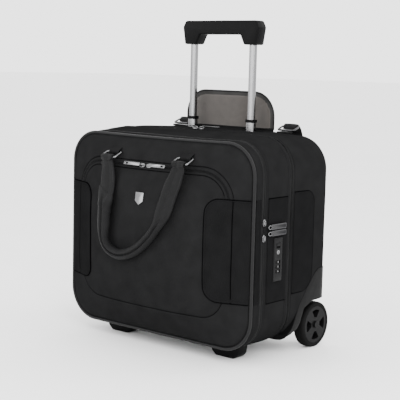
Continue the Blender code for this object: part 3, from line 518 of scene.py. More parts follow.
def lining_ring(points, y):
    """A loop of the lining at one depth."""
    return [(x, y, sloped(x, y, z)) for x, z in points]


def seam_profile(seams, flat, ends, step=0.0015):
    """Insets along y: seams pull in, the cloth between them puffs out a little."""
    profile = []
    steps = max(int(round((ends[1] - ends[0]) / step)), 2)
    for i in range(steps + 1):
        y = ends[0] + (ends[1] - ends[0]) * i / steps
        inset = flat(y)
        for at, width, depth in seams:
            inset += groove(y - at, width, depth)
        profile.append((y, inset))
    return profile


def hollow_shell(name, outer, inner, is_tape, body):
    """A section closed at one end: loops of cloth outside, and loops of lining inside.

    is_tape says from a row's number and its y whether it belongs to the zip's tape.
    """
    rows, end = outer + inner, len(outer) - 1
    count = len(rows[0])
    verts = [p for loop in rows for p in loop]
    faces, kinds = [], []
    for row, loop in enumerate(rows):
        if row == end:
            continue
        a, b = row * count, (row + 1) % len(rows) * count
        kind = 2 if row > end else int(is_tape(row, loop[0][1]))
        for i in range(count):
            j = (i + 1) % count
            faces.append((a + i, a + j, b + j, b + i))
            kinds.append(kind)
    for cap, kind in ((end, 0), (end + 1, 2)):
        faces.append(tuple(range(cap * count, (cap + 1) * count)))
        kinds.append(kind)
    return new_piece(name, verts, faces, SHELL_FINISHES, body, kinds)


def open_shell(name, outer, inner, finishes, tape_range, body, replaces):
    """A section open at both ends, from its outer and inner profiles of (y, inset)."""
    loops = [fabric_ring(case_outline(inset), y) for y, inset in outer]
    loops += [lining_ring(case_outline(inset), y) for y, inset in inner]
    loops.append(loops[0])
    count = len(loops[0])
    verts = [p for loop in loops[:-1] for p in loop]
    faces, kinds = [], []
    total = len(loops) - 1
    for row in range(total):
        a, b = row * count, ((row + 1) % total) * count
        if row < len(outer) - 1:
            y = (outer[row][0] + outer[row + 1][0]) / 2
            kind = 1 if any(low < y < high for low, high in tape_range) else 0
        else:
            kind = 2
        for i in range(count):
            j = (i + 1) % count
            faces.append((a + i, a + j, b + j, b + i))
            kinds.append(kind)
    piece = new_piece(name, verts, faces, finishes, body, kinds)
    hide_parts(*replaces)
    return piece


HOUSING_IN_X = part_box("wheel_housing_right")[0].x
HOUSING_TOP_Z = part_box("wheel_housing_right")[1].z
HOUSING_SLOPE = [(0.086, 0.145), (0.063, 0.121), (0.040, 0.092), (0.024, 0.059), (0.015, 0.040),
                 (0.019, 0.015)]


def housing_cutters():
    """The space that the corner housings take out of the rear section."""
    far = BACK_Y + 0.03
    outline = [(far, HOUSING_TOP_Z + ZIP_GAP), (0.096, HOUSING_TOP_Z + ZIP_GAP)] + HOUSING_SLOPE
    outline.append((far, 0.010))
    cutters = []
    for side in (-1, 1):
        low, high = sorted((side * (HOUSING_IN_X - ZIP_GAP), side * 0.26))
        cutters.append(prism(outline, low, high))
    return cutters


def rear_section():
    """The rear shell, open at the rear zip, with room for the housings and the well."""
    def flat(y):
        """Puffed between the zip and the back's round edge."""
        return 0.0016 * (1 - smooth((y - 0.013) / 0.006)) - 0.0007 * smooth((y - 0.018) / 0.02)
    seams = [(0.0160, 0.0010, 0.0016)]
    straight = BACK_Y - BACK_EDGE_RADIUS
    outer = seam_profile(seams, flat, (REAR_ZIP_Y + ZIP_GAP / 2, 0.022), 0.0007)
    outer += seam_profile([], flat, (0.026, straight), 0.008)
    for i in range(1, 9):
        a = math.pi / 2 * i / 8
        outer.append((straight + BACK_EDGE_RADIUS * math.sin(a),
                      BACK_EDGE_RADIUS * (1 - math.cos(a)) - 0.0007))
    for inset in (0.028, 0.032, 0.040, 0.052):
        outer.append((BACK_Y, inset))
    rear_wall(outer)


def rear_wall(outer):
    """Close the rear section with its back panel and give it its lining."""
    loops = [fabric_ring(case_outline(inset), y) for y, inset in outer]
    centre_z = (BASE_Z + TOP_Z) / 2
    for k in (0.75, 0.5, 0.25):
        loops.append([(x * k, y, centre_z + (z - centre_z) * k) for x, y, z in loops[len(outer) - 1]])
    inner_y = BACK_Y - WALL
    inner = [[(x * 0.25, inner_y, centre_z + (z - centre_z) * 0.25) for x, z in case_outline(0.03)]]
    for y, inset in ((inner_y, 0.03), (inner_y - 0.006, 0.012), (inner_y - 0.024, WALL),
                     (0.05, WALL), (REAR_ZIP_Y + ZIP_GAP / 2, WALL)):
        inner.append(lining_ring(case_outline(inset), y))
    piece = hollow_shell("rear_fabric", loops, inner, lambda row, y: y < REAR_TAPE_Y, "case")
    low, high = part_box("handle_well")
    well = prism([(low.y - ZIP_GAP, 0.36), (high.y + ZIP_GAP, 0.36), (high.y + ZIP_GAP, 0.42),
                  (low.y - ZIP_GAP, 0.42)], low.x - ZIP_GAP, high.x + ZIP_GAP)
    cut_away(piece, housing_cutters() + [well])
    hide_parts("rear_shell")


def middle_section():
    """The frame of cloth between the two zips."""
    def flat(y):
        """Lower at both zip tapes."""
        front = 0.0016 * (1 - smooth((y + 0.0665) / 0.005))
        rear = 0.0016 * smooth((y - 0.0030) / 0.005)
        middle = smooth((y + 0.056) / 0.012) * (1 - smooth((y + 0.012) / 0.010))
        return front + rear - 0.0007 * middle
    ends = (MAIN_ZIP_Y + ZIP_GAP / 2, REAR_ZIP_Y - ZIP_GAP / 2)
    seams = [(-0.0628, 0.0010, 0.0016), (-0.0580, 0.0010, 0.0010), (-0.0030, 0.0010, 0.0012),
             (0.0036, 0.0010, 0.0016)]
    outer = seam_profile(seams, flat, ends, 0.0009)
    inner = [(ends[1], WALL), (ends[0], WALL)]
    piece = open_shell("middle_fabric", outer, inner, SHELL_FINISHES,
                       [(-1.0, -0.0630), (0.0038, 1.0)], "middle", ["middle_frame"])
    low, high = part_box("lock_housing")
    lock = prism([(low.y + 0.0015, low.z + 0.0015), (high.y - 0.0015, low.z + 0.0015),
                  (high.y - 0.0015, high.z - 0.0015), (low.y + 0.0015, high.z - 0.0015)], 0.19, 0.23)
    cut_away(piece, [lock])


def lid_section():
    """The lid: its side band, and the padded front with its zipped pocket."""
    def flat(y):
        """Lower at the zip tape and at the piping."""
        return 0.0016 * smooth((y + 0.0715) / 0.005) + 0.0012 * (1 - smooth((y + 0.0905) / 0.003))
    seams = [(-0.0752, 0.0010, 0.0016), (-0.0790, 0.0009, 0.0008), (-0.0918, 0.0012, 0.0030)]
    side = seam_profile(seams, flat, (MAIN_ZIP_Y - ZIP_GAP / 2, FRONT_EDGE_Y + 0.0026), -0.0009)
    loops = [fabric_ring(case_outline(inset), y) for y, inset in side]
    spreads = [1.0, 0.985, 0.97, 0.955, 0.93, 0.89, 0.84, 0.77, 0.68, 0.58, 0.48, 0.38, 0.29, 0.21,
               0.145, 0.10, 0.07, 0.045, 0.028, 0.014, 0.006]
    insets = [0.0, 0.0006, 0.0014, 0.0026, 0.0045, 0.0070, 0.0095, 0.0114, 0.0126, 0.0134, 0.0140,
              0.0146, 0.0154, 0.0168, 0.0190, 0.0230, 0.0290, 0.0370, 0.0470, 0.0580, 0.0700, 0.0830,
              0.0960, 0.1080, 0.1180]
    for spread in spreads:
        loop = []
        for x, z in foot_outline(spread):
            low_z = sloped(x, FRONT_EDGE_Y, z)
            z += (low_z - z) * smooth(spread)
            point = front_point(x, z)
            dip = groove((1 - spread) * 0.045 - 0.0010, 0.0016, 0.0030)
            loop.append((x, point[1] + dip, z))
        loops.append(loop)
    loops += [[front_point(x, z) for x, z in pocket_outline(inset)] for inset in insets]
    inner = [lining_ring(case_outline(inset), FACE_Y + WALL) for inset in (0.10, 0.03, WALL)]
    inner.append(lining_ring(case_outline(WALL), MAIN_ZIP_Y - ZIP_GAP / 2))
    piece = hollow_shell("lid_fabric", loops, inner,
                         lambda row, y: row < len(side) - 1 and y > LID_TAPE_Y, "lid")
    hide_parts("lid_shell", "pocket_shell")
    edge = [(x, FRONT_EDGE_Y, sloped(x, FRONT_EDGE_Y, z)) for x, z in case_outline(0.0007)]
    tube("front_piping", edge, PIPING_RADIUS, "piping", "lid", closed=True)


# ---------------------------------------------------------------- tubes, strips and teeth

def tube(name, points, radius, finish, body, closed=False, sides=12):
    """A round tube through points."""
    centres = [Vector(p) for p in points]
    count = len(centres)
    loops = []
    side = None
    for i, centre in enumerate(centres):
        before = centres[(i - 1) % count if closed else max(i - 1, 0)]
        after = centres[(i + 1) % count if closed else min(i + 1, count - 1)]
        along = (after - before).normalized()
        if side is None:
            side = along.orthogonal().normalized()
        side = (side - along * side.dot(along)).normalized()
        across = along.cross(side)
        loops.append([centre + side * radius * math.cos(math.tau * k / sides)
                      + across * radius * math.sin(math.tau * k / sides) for k in range(sides)])
    verts = [p for loop in loops for p in loop]
    faces = loft(loops)
    last = (count - 1) * sides
    if closed:
        for k in range(sides):
            m = (k + 1) % sides
            faces.append((last + k, last + m, m, k))
    else:
        faces.append(tuple(range(sides)))
        faces.append(tuple(range(last, last + sides)))
    return new_piece(name, verts, faces, finish, body, sharp=60)


def brick(verts, faces, centre, along, across, out, size):
    """Add one small six-sided block, narrower at its top."""
    first = len(verts)
    for w, k in ((-0.5, 1.0), (0.5, 0.72)):
        for u, v in ((-0.5, -0.5), (0.5, -0.5), (0.5, 0.5), (-0.5, 0.5)):
            verts.append(centre + along * size[0] * u * k + across * size[1] * v * k + out * size[2] * w)
    for face in ((0, 3, 2, 1), (4, 5, 6, 7), (0, 1, 5, 4), (1, 2, 6, 5), (2, 3, 7, 6), (3, 0, 4, 7)):
        faces.append(tuple(first + i for i in face))


def along_path(points, pitch, closed=False):
    """Places at an even pitch along a path: a list of (place, direction)."""
    knots = [Vector(p) for p in points]
    if closed:
        knots.append(knots[0])
    places, left = [], pitch / 2
    for a, b in zip(knots, knots[1:]):
        span = (b - a).length
        if span == 0:
            continue
        unit = (b - a) / span
        at = left
        while at < span:
            places.append((a + unit * at, unit))
            at += pitch
        left = at - span
    return places


TOOTH = (0.0010, 0.0022, 0.0012)
TOOTH_PITCH = 0.0017


def zip_teeth(name, points, outward, across_shift, body):
    """One side of a zip's chain along points; outward gives the direction out of the cloth."""
    verts, faces = [], []
    for place, along in along_path(points, TOOTH_PITCH):
        out = outward(place)
        across = along.cross(out).normalized()
        brick(verts, faces, place + across * across_shift, along, across, out, TOOTH)
    return new_piece(name, verts, faces, "teeth", body, sharp=30)


def stitch_row(name, points, outward, finish, body, length=0.0024, gap=0.0012, closed=False):
    """A row of stitches lying on the cloth."""
    verts, faces = [], []
    for place, along in along_path(points, length + gap, closed):
        out = outward(place)
        across = along.cross(out).normalized()
        brick(verts, faces, place, along, across, out, (length, 0.0006, 0.0005))
    return new_piece(name, verts, faces, finish, body, sharp=30)


def away_from_middle(place):
    """Outwards in the plane of the case's outline."""
    half, tall = HALF_WIDTH - CORNER_RADIUS, (TOP_Z - BASE_Z) / 2 - CORNER_RADIUS
    middle = (TOP_Z + BASE_Z) / 2
    x = min(max(place.x, -half), half)
    z = min(max(place.z, middle - tall), middle + tall)
    return Vector((place.x - x, 0, place.z - z)).normalized()


def section_zips():
    """The chains of the two zips round the case: everywhere but along the base."""
    outline = case_outline(0.0012)
    path = outline[LONG_STEPS:] + outline[:1]
    shift = TOOTH[1] / 2 + ZIP_GAP / 2
    for word, y, front_body, rear_body in (("main", MAIN_ZIP_Y, "lid", "middle"),
                                           ("rear", REAR_ZIP_Y, "middle", "case")):
        for side, body in ((-1, front_body), (1, rear_body)):
            zip_teeth(f"{word}_zip_teeth_{body}", lining_ring(path, y + side * shift),
                      away_from_middle, 0.0, body)


def pocket_zip():
    """The front pocket's chain, between the patches over the top."""
    middle = ZIP_BAND / 2
    arch = [(x, z) for x, z in pocket_outline(middle) if z > PATCH_Z[1] - 0.004]
    arch = [front_point(x, z, 0.0003) for x, z in arch]
    for word, shift in (("upper", TOOTH[1] / 2), ("lower", -TOOTH[1] / 2)):
        zip_teeth("pocket_zip_teeth_" + word, arch, lambda p: front_normal(p.x, p.z), shift, "lid")


# ---------------------------------------------------------------- patches

def edge_profile(inside):
    """How far a patch's cloth stands out, from its hidden edge inwards."""
    if inside < 0.0008:
        return -0.0006 + (PATCH_LIFT + 0.0006 + 0.0004) * smooth(inside / 0.0008)
    fold = 0.0004 * (1 - smooth((inside - 0.0030) / 0.0010))
    return PATCH_LIFT + fold - groove(inside - 0.0038, 0.0006, 0.0005)


def patch_grid(name, steps, place, body):
    """A patch of cloth over a grid; place gives the point for two numbers from 0 to 1."""
    across, up = steps
    verts = [place(i / across, j / up) for j in range(up + 1) for i in range(across + 1)]
    faces = []
    for j in range(up):
        for i in range(across):
            a = j * (across + 1) + i
            faces.append((a, a + 1, a + across + 2, a + across + 1))
    return new_piece(name, verts, faces, "patch", body)


def eased(t):
    """Crowd the grid's lines towards both ends."""
    return 0.5 - 0.5 * math.cos(math.pi * t)


def front_patch(side, word):
    """The patch on one side of the front, from the panel to the piping."""
    low, high = PATCH_Z
    corner, outer_x = 0.024, HALF_WIDTH - 0.0042

    def place(s, t):
        z = low + (high - low) * eased(t)
        near = min(z - low, high - z)
        cut = corner - math.sqrt(max(corner ** 2 - max(corner - near, 0.0) ** 2, 0.0))
        start = PATCH_INNER_X + cut
        x = start + (outer_x - start) * eased(s)
        qx, qz = PATCH_INNER_X + corner - x, corner - near
        inside = corner - math.hypot(max(qx, 0), max(qz, 0)) if qx > 0 and qz > 0 else min(
            x - PATCH_INNER_X, near)
        fold = groove(x - POCKET_HALF_WIDTH, 0.0016, 0.0014)
        lift = edge_profile(max(inside, 0.0)) - fold
        lift *= 1.0 - 0.6 * smooth((x - outer_x + 0.003) / 0.003)
        return front_point_smooth(side * x, z, lift)

    return patch_grid("front_patch_" + word, (70, 90), place, "lid")


def front_point_smooth(x, z, lift):
    """A point above the front's surface, without its seams."""
    normal = front_normal(x, z)
    y = front_y(x, z) - wobble((x, 0.0, z), 0.055, 0.0010)
    return Vector((x, y, z)) + normal * (lift + 0.0004)


def side_patch(name, side, y_range, z_range, corners, base_lift, body):
    """A patch on the side of a section, with its own corner radii at its rear end."""
    (y0, y1), (z0, z1) = y_range, z_range
    low_corner, high_corner = corners

    def place(s, t):
        z = z0 + (z1 - z0) * eased(t)
        end = y1
        for corner, near in ((low_corner, z - z0), (high_corner, z1 - z)):
            if corner and near < corner:
                end = min(end, y1 - corner + math.sqrt(corner ** 2 - (corner - near) ** 2))
        y = y0 + (end - y0) * eased(s)
        inside = min(y - y0 + 0.004, end - y, z - z0, z1 - z)
        x = HALF_WIDTH + base_lift + edge_profile(max(inside, 0.0))
        x += wobble((side * 0.2, y, z), 0.05, 0.0005)
        return (side * x, y, z)

    return patch_grid(name, (26, 70), place, body)


def seam_line(name, points, body, radius=0.0009):
    """A near-black tube half sunk in the cloth along an edge or a fold: painted shade in its groove."""
    tube(name, points, radius, "edge", body, sides=6)


def patch_edge():
    """The front patch's inner edge, from the top seam round to the bottom one, as (x, z)."""
    low, high = PATCH_Z
    r, outer = 0.024, HALF_WIDTH - 0.0052
    x = PATCH_INNER_X
    return (run((outer, high), (x + r, high), 24) + arc((x + r, high - r), r, 90, 180, 10)
            + run((x, high - r), (x, low + r), 40) + arc((x + r, low + r), r, 180, 270, 10)
            + run((x + r, low), (outer, low), 24) + [(outer, low)])


def seam_lines():
    """The lines of painted shade along the patches' edges and the pocket's seams."""
    low, high = PATCH_Z
    for side, word in ((-1, "left"), (1, "right")):
        edge = [front_point_smooth(side * x, z, 0.0007) for x, z in patch_edge()]
        seam_line("patch_edge_" + word, edge, "lid", 0.0010)
        fold = [(x, z) for x, z in pocket_outline(0.0) if x > 0.1 and low + 0.004 < z < high]
        fold.sort(key=lambda p: p[1])
        seam_line("patch_fold_" + word, [front_point_smooth(side * x, z, -0.0006) for x, z in fold],
                  "lid", 0.0011)
    arch = [(x, z) for x, z in pocket_outline(0.0) if z > high + 0.001]
    seam_line("pocket_seam_outer", [front_point(x, z, -0.0002) for x, z in arch], "lid", 0.0007)
    arch = [(x, z) for x, z in pocket_outline(ZIP_BAND) if z > high + 0.001]
    seam_line("pocket_seam_inner", [front_point(x, z, -0.0002) for x, z in arch], "lid", 0.0009)
    base = pocket_outline(ZIP_BAND)
    base = [p for p in base[LONG_STEPS + CORNER_STEPS + TALL_STEPS:] if p[1] < low - 0.001] + [
        p for p in base[:LONG_STEPS + CORNER_STEPS + TALL_STEPS] if p[1] < low - 0.001]
    seam_line("pocket_seam_base", [front_point(x, z, -0.0002) for x, z in base], "lid", 0.0008)


def side_seam(name, side, edge, body):
    """The line of painted shade along a side patch's edge, given as (y, z)."""
    points = [(side * (HALF_WIDTH + 0.0010 + wobble((side * 0.2, y, z), 0.05, 0.0005)), y, z)
              for y, z in edge]
    seam_line(name, points, body, 0.0009)


def round_end(y_range, z_range, corners):
    """The upper, rear and lower edges of a side patch with a round end, as (y, z)."""
    (y0, y1), (z0, z1) = y_range, z_range
    r_low, r_high = corners
    return (run((y0, z1), (y1 - r_high, z1), 12) + arc((y1 - r_high, z1 - r_high), r_high, 90, 0, 10)
            + run((y1, z1 - r_high), (y1, z0 + r_low), 24)[1:]
            + arc((y1 - r_low, z0 + r_low), r_low, 0, -90, 10)
            + run((y1 - r_low, z0), (y0, z0), 12)[1:] + [(y0, z0)])


def patches():
    """All the smooth dark patches."""
    low, high = PATCH_Z
    middle = ((-0.0572, -0.0036), (0.109, 0.288), (0, 0))
    rear = ((0.0166, 0.075), (0.116, 0.294), (0.032, 0.022))
    for side, word in ((-1, "left"), (1, "right")):
        front_patch(side, word)
        side_patch("lid_side_patch_" + word, side, (-0.0905, -0.0762), (low - 0.001, high + 0.0015),
                   (0, 0), 0.0, "lid")
        side_patch("middle_patch_" + word, side, *middle, 0.0006, "middle")
        side_patch("rear_patch_" + word, side, *rear, 0.0006, "case")
        side_seam("rear_patch_seam_" + word, side, round_end(*rear), "case")
        (y0, y1), (z0, z1), _ = middle
        for level, z in (("upper", z1), ("lower", z0)):
            side_seam(f"middle_patch_seam_{level}_{word}", side,
                      run((y0, z), (y1, z), 12) + [(y1, z)], "middle")


# ---------------------------------------------------------------- handles

def smooth_path(points, per_span):
    """A Catmull-Rom curve through the points."""
    knots = [Vector(p) for p in points]
    ends = [2 * knots[0] - knots[1]] + knots + [2 * knots[-1] - knots[-2]]
    path = []
    for i in range(1, len(ends) - 2):
        a, b, c, d = ends[i - 1:i + 3]
        for k in range(per_span):
            t = k / per_span
            path.append(0.5 * (2 * b + (c - a) * t + (2 * a - 5 * b + 4 * c - d) * t * t
                               + (3 * b - a - 3 * c + d) * t ** 3))
    path.append(knots[-1])
    return path


def even_path(points, count):
    """The path again with its points evenly spaced."""
    lengths = [0.0]
    for a, b in zip(points, points[1:]):
        lengths.append(lengths[-1] + (b - a).length)
    made, k = [], 0
    for i in range(count):
        target = lengths[-1] * i / (count - 1)
        while k < len(points) - 2 and lengths[k + 1] < target:
            k += 1
        span = lengths[k + 1] - lengths[k]
        t = 0.0 if span == 0 else (target - lengths[k]) / span
        made.append(points[k].lerp(points[k + 1], t))
    return made, lengths[-1]


def strap_section(width, thickness, sides=40):
    """A flat strap's section: a rounded oblong, counter-clockwise."""
    points = []
    r = thickness / 2
    for k in range(sides):
        a = math.tau * k / sides
        c, s = math.cos(a), math.sin(a)
        points.append(((width / 2 - r) * max(-1, min(1, 1.35 * c)) + r * c, r * s))
    return points


def soft_strap_section(width, thickness, ripple):
    """A strap's section with soft lengthwise folds on its outer side."""
    points = []
    for u, v in strap_section(width, thickness):
        fold = ripple * 0.0016 * (math.exp(-((u / width + 0.10) / 0.07) ** 2)
                                  - 0.7 * math.exp(-((u / width - 0.20) / 0.14) ** 2)
                                  - 0.7 * math.exp(-((u / width + 0.34) / 0.10) ** 2))
        points.append((u, v - (fold if v > 0 else 0.0)))
    return points


def rolled_section(width, thickness, sides=40):
    """A webbing folded lengthwise: two lobes, the outer one over the inner, and a deep groove."""
    points = []
    for k in range(sides):
        a = math.tau * k / sides
        c, s = math.cos(a), math.sin(a)
        notch = 1 - (0.55 if s > 0 else 0.10) * math.exp(-((c - 0.12) / 0.16) ** 2)
        points.append((width / 2 * c, thickness / 2 * s * notch * (1 - 0.10 * c)))
    return points


def sweep(name, path, frames, section_at, finish, body):
    """A closed skin along a path; section_at gives the (u, v) points for each place."""
    loops = []
    for i, centre in enumerate(path):
        side, out = frames[i]
        loops.append([centre + side * u + out * v for u, v in section_at(i)])
    count = len(loops[0])
    verts = [p for loop in loops for p in loop]
    faces = loft(loops)
    faces.append(tuple(range(count)))
    last = (len(loops) - 1) * count
    faces.append(tuple(range(last, last + count)))
    return new_piece(name, verts, faces, finish, body, sharp=60)


def frames_along(path, facing):
    """The side and out directions at each point of a path; out leans towards facing."""
    frames = []
    for i in range(len(path)):
        along = (path[min(i + 1, len(path) - 1)] - path[max(i - 1, 0)]).normalized()
        toward = facing(i) if callable(facing) else Vector(facing)
        out = (toward - along * toward.dot(along)).normalized()
        frames.append((along.cross(out).normalized(), out))
    return frames


RING_WIRE = 0.0018


def front_handle():
    """One webbing from ring to ring, folded and stitched into a grip where the hand goes."""
    low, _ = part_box("front_ring_left")
    wire = RING_WIRE
    end_y, end_z = low.y + wire, low.z + wire
    ring_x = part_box("front_ring_right")
    ring_x = (ring_x[0].x + ring_x[1].x) / 2
    over = wire + 0.0018
    loop = [(0, 0.0036, -0.0030), (0, 0.0035, -0.0010), (0, 0.0026, 0.0018), (0, -0.0006, over),
            (0, -over + 0.0002, 0.0005)]
    left = [(-ring_x + x, end_y + y, end_z + z) for x, y, z in loop]
    right = [(ring_x + x, end_y + y, end_z + z) for x, y, z in reversed(loop)]
    middle = [(-0.0835, -0.1412, 0.3320), (-0.0800, -0.1425, 0.3240), (-0.0777, -0.1438, 0.3085),
              (-0.0774, -0.1450, 0.2907), (-0.0776, -0.1478, 0.2790), (-0.0762, -0.1525, 0.2650),
              (-0.0751, -0.1552, 0.2500), (-0.0755, -0.1558, 0.2290), (-0.0758, -0.1558, 0.2091),
              (-0.0730, -0.1558, 0.1930), (-0.0640, -0.1558, 0.1808), (-0.0485, -0.1558, 0.1740),
              (-0.0328, -0.1558, 0.1726), (-0.0150, -0.1558, 0.1765), (0.0025, -0.1558, 0.1845),
              (0.0195, -0.1558, 0.1962), (0.0370, -0.1558, 0.2125), (0.0485, -0.1557, 0.2265),
              (0.0585, -0.1550, 0.2430), (0.0677, -0.1515, 0.2686), (0.0745, -0.1472, 0.2945),
              (0.0808, -0.1443, 0.3120), (0.0860, -0.1422, 0.3290)]
    path, length = even_path(smooth_path(left + middle + right, 10), 300)
    heights = [p.z for p in path]
    turn_left = next(i for i, z in enumerate(heights) if i > 60 and z < 0.272)
    turn_right = next(i for i in range(len(path) - 1, 0, -1) if heights[i] < 0.246)

    def facing(i):
        """Outwards, and round the ring at both ends."""
        back = 6
        if i < back or i >= len(path) - back:
            return Vector((0, 1, 0))
        bar = Vector((path[i].x, end_y, end_z))
        away = path[i] - bar
        if away.length < 0.0075:
            return Vector((0, away.y, away.z))
        return Vector((0, -1, 0))

    frames = frames_along(path, facing)

    def folded(i):
        """0 where the webbing is flat, 1 where it is folded."""
        return smooth((i - turn_left + 10) / 16) * smooth((turn_right + 12 - i) / 26)

    def section(i, grow=0.0):
        """The webbing's section at a place."""
        from_ring = min(i, len(path) - 1 - i) * length / (len(path) - 1)
        width = 0.0285 + 0.0055 * smooth((from_ring - 0.025) / 0.030)
        width += 0.0040 * math.exp(-((i - turn_left) / 12) ** 2)
        flat = soft_strap_section(width + grow * 2, 0.0034 + grow * 2, 0.55)
        low = smooth((path[i].z - 0.1850) / 0.045) * (1 if i < len(path) // 2 else 0)
        roll = rolled_section(0.0190 + 0.0100 * low + grow * 2, 0.0150 + grow * 2)
        k = folded(i)
        return [(a * (1 - k) + c * k, b * (1 - k) + d * k) for (a, b), (c, d) in zip(flat, roll)]

    piece = sweep("front_handle_webbing", path, frames, section, "strap_fabric", "front_handle")
    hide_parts("front_strap_left", "front_strap_right", "front_handle_grip")
    handle_wrap("left", path, frames, section, turn_left)
    handle_stitches(path, frames, length, turn_left, turn_right)


def handle_wrap(word, path, frames, section, centre):
    """The slanting band that binds the fold."""
    loops = []
    half, slant = 11, 5.5
    slope = -1
    for step in range(-half, half + 1):
        grow = 0.0011 if abs(step) < half else -0.0004
        base = section(max(min(centre + step, len(path) - 2), 1), grow)
        ring = []
        for u, v in base:
            at = centre + step + slope * slant * u / 0.017
            at = max(min(at, len(path) - 2), 1)
            i = int(at)
            t = at - i
            point = path[i].lerp(path[i + 1], t)
            side = frames[i][0].lerp(frames[i + 1][0], t)
            out = frames[i][1].lerp(frames[i + 1][1], t)
            ring.append(point + side * u + out * v)
        loops.append(ring)
    verts = [p for loop in loops for p in loop]
    new_piece("handle_wrap_" + word, verts, loft(loops), "strap_fabric", "front_handle", sharp=50)


def handle_stitches(path, frames, length, turn_left, turn_right):
    """Two rows of stitches on each flat end of the webbing."""
    pace = length / (len(path) - 1)
    first = int(0.030 / pace)
    for word, start, end in (("left", first, turn_left - 20),
                             ("right", turn_right + 20, len(path) - 1 - first)):
        for row, offset in (("outer", 0.0142), ("inner", -0.0142)):
            points = []
            for i in range(start, end):
                side, out = frames[i]
                wide = 0.86 + 0.14 * smooth((min(i, len(path) - 1 - i) * pace - 0.03) / 0.03)
                points.append(path[i] + side * offset * wide + out * 0.0018)
            stitch_row(f"strap_stitches_{word}_{row}", points, lambda p: Vector((0, -1, 0)), "thread",
                       "front_handle")


def rear_handle():
    """The rear strap, looped through its rings and hanging behind."""
    low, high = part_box("rear_ring_right")
    wire = RING_WIRE
    ring_x = (low.x + high.x) / 2
    end_y, end_z = high.y - wire, high.z - wire
    half = [(ring_x, end_y - 0.0048, end_z - 0.0070), (ring_x, end_y - 0.0036, end_z - 0.0005),
            (ring_x, end_y + 0.0010, end_z + 0.0036), (ring_x, 0.1300, 0.3975),
            (ring_x, 0.1342, 0.3900), (ring_x, 0.1360, 0.3700), (0.124, 0.1362, 0.3350),
            (0.110, 0.1362, 0.3030), (0.080, 0.1362, 0.2860), (0.040, 0.1362, 0.2805)]
    whole = half + [(0, 0.1362, 0.2795)] + [(-x, y, z) for x, y, z in reversed(half)]
    path, length = even_path(smooth_path(whole, 10), 260)

    def facing(i):
        """Up and back near the rings, straight back below them."""
        if path[i].z > 0.372:
            away = path[i] - Vector((path[i].x, end_y, end_z))
            near = smooth((0.012 - away.length) / 0.006)
            return Vector((0, 1, 0.35)).lerp(Vector((0, away.y, away.z)).normalized(), near)
        return Vector((0, 1, 0.15))

    frames = frames_along(path, facing)
    piece = sweep("rear_handle_webbing", path, frames, lambda i: strap_section(
        0.0290 + 0.0070 * smooth((min(i, 259 - i) * length / 259 - 0.02) / 0.03), 0.0034),
        "strap_fabric", "rear_handle")
    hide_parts("rear_strap")
    for row, offset in (("outer", 0.0145), ("inner", -0.0145)):
        points = [path[i] + frames[i][0] * offset + frames[i][1] * 0.0018 for i in range(28, 232)]
        stitch_row("rear_strap_stitches_" + row, points, lambda p: Vector((0, 1, 0)), "thread",
                   "rear_handle")


def ring_tabs():
    """The folded loops of webbing that hold the rings' straight bars."""
    for word in ("left", "right"):
        low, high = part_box("front_ring_" + word)
        x = (low.x + high.x) / 2
        bar = Vector((x, high.y - RING_WIRE, high.z - RING_WIRE))
        up = Vector(front_point(x, bar.z + 0.0085)) - front_normal(x, bar.z + 0.0085) * 0.0004
        mid = Vector(front_point(x, bar.z + 0.0055)) + front_normal(x, bar.z + 0.0055) * 0.0020
        under = Vector(front_point(x, bar.z - 0.002)) + front_normal(x, bar.z) * 0.0010
        back = Vector(front_point(x, bar.z + 0.008)) + front_normal(x, bar.z) * 0.0004
        points = [up, mid, bar + Vector((0, -0.0030, 0.0012)), bar + Vector((0, -0.0010, -0.0032)),
                  bar + Vector((0, 0.0024, -0.0020)), under.lerp(back, 0.6)]
        path, _ = even_path(smooth_path(points, 10), 40)

        def facing(i, path=path, bar=bar):
            away = path[i] - bar
            return Vector((0, -1, 0.9)) if away.length > 0.006 else Vector((0, away.y, away.z))

        frames = frames_along(path, facing)
        piece = sweep("front_ring_loop_" + word, path, frames,
                      lambda i: strap_section(0.0240, 0.0022), "case_fabric", "lid")
        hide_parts("front_ring_tab_" + word)
        refined("rear_ring_tab_" + word, "strap_fabric", 0.0012)


# ---------------------------------------------------------------- flap

FOLD_RADIUS = 0.0022


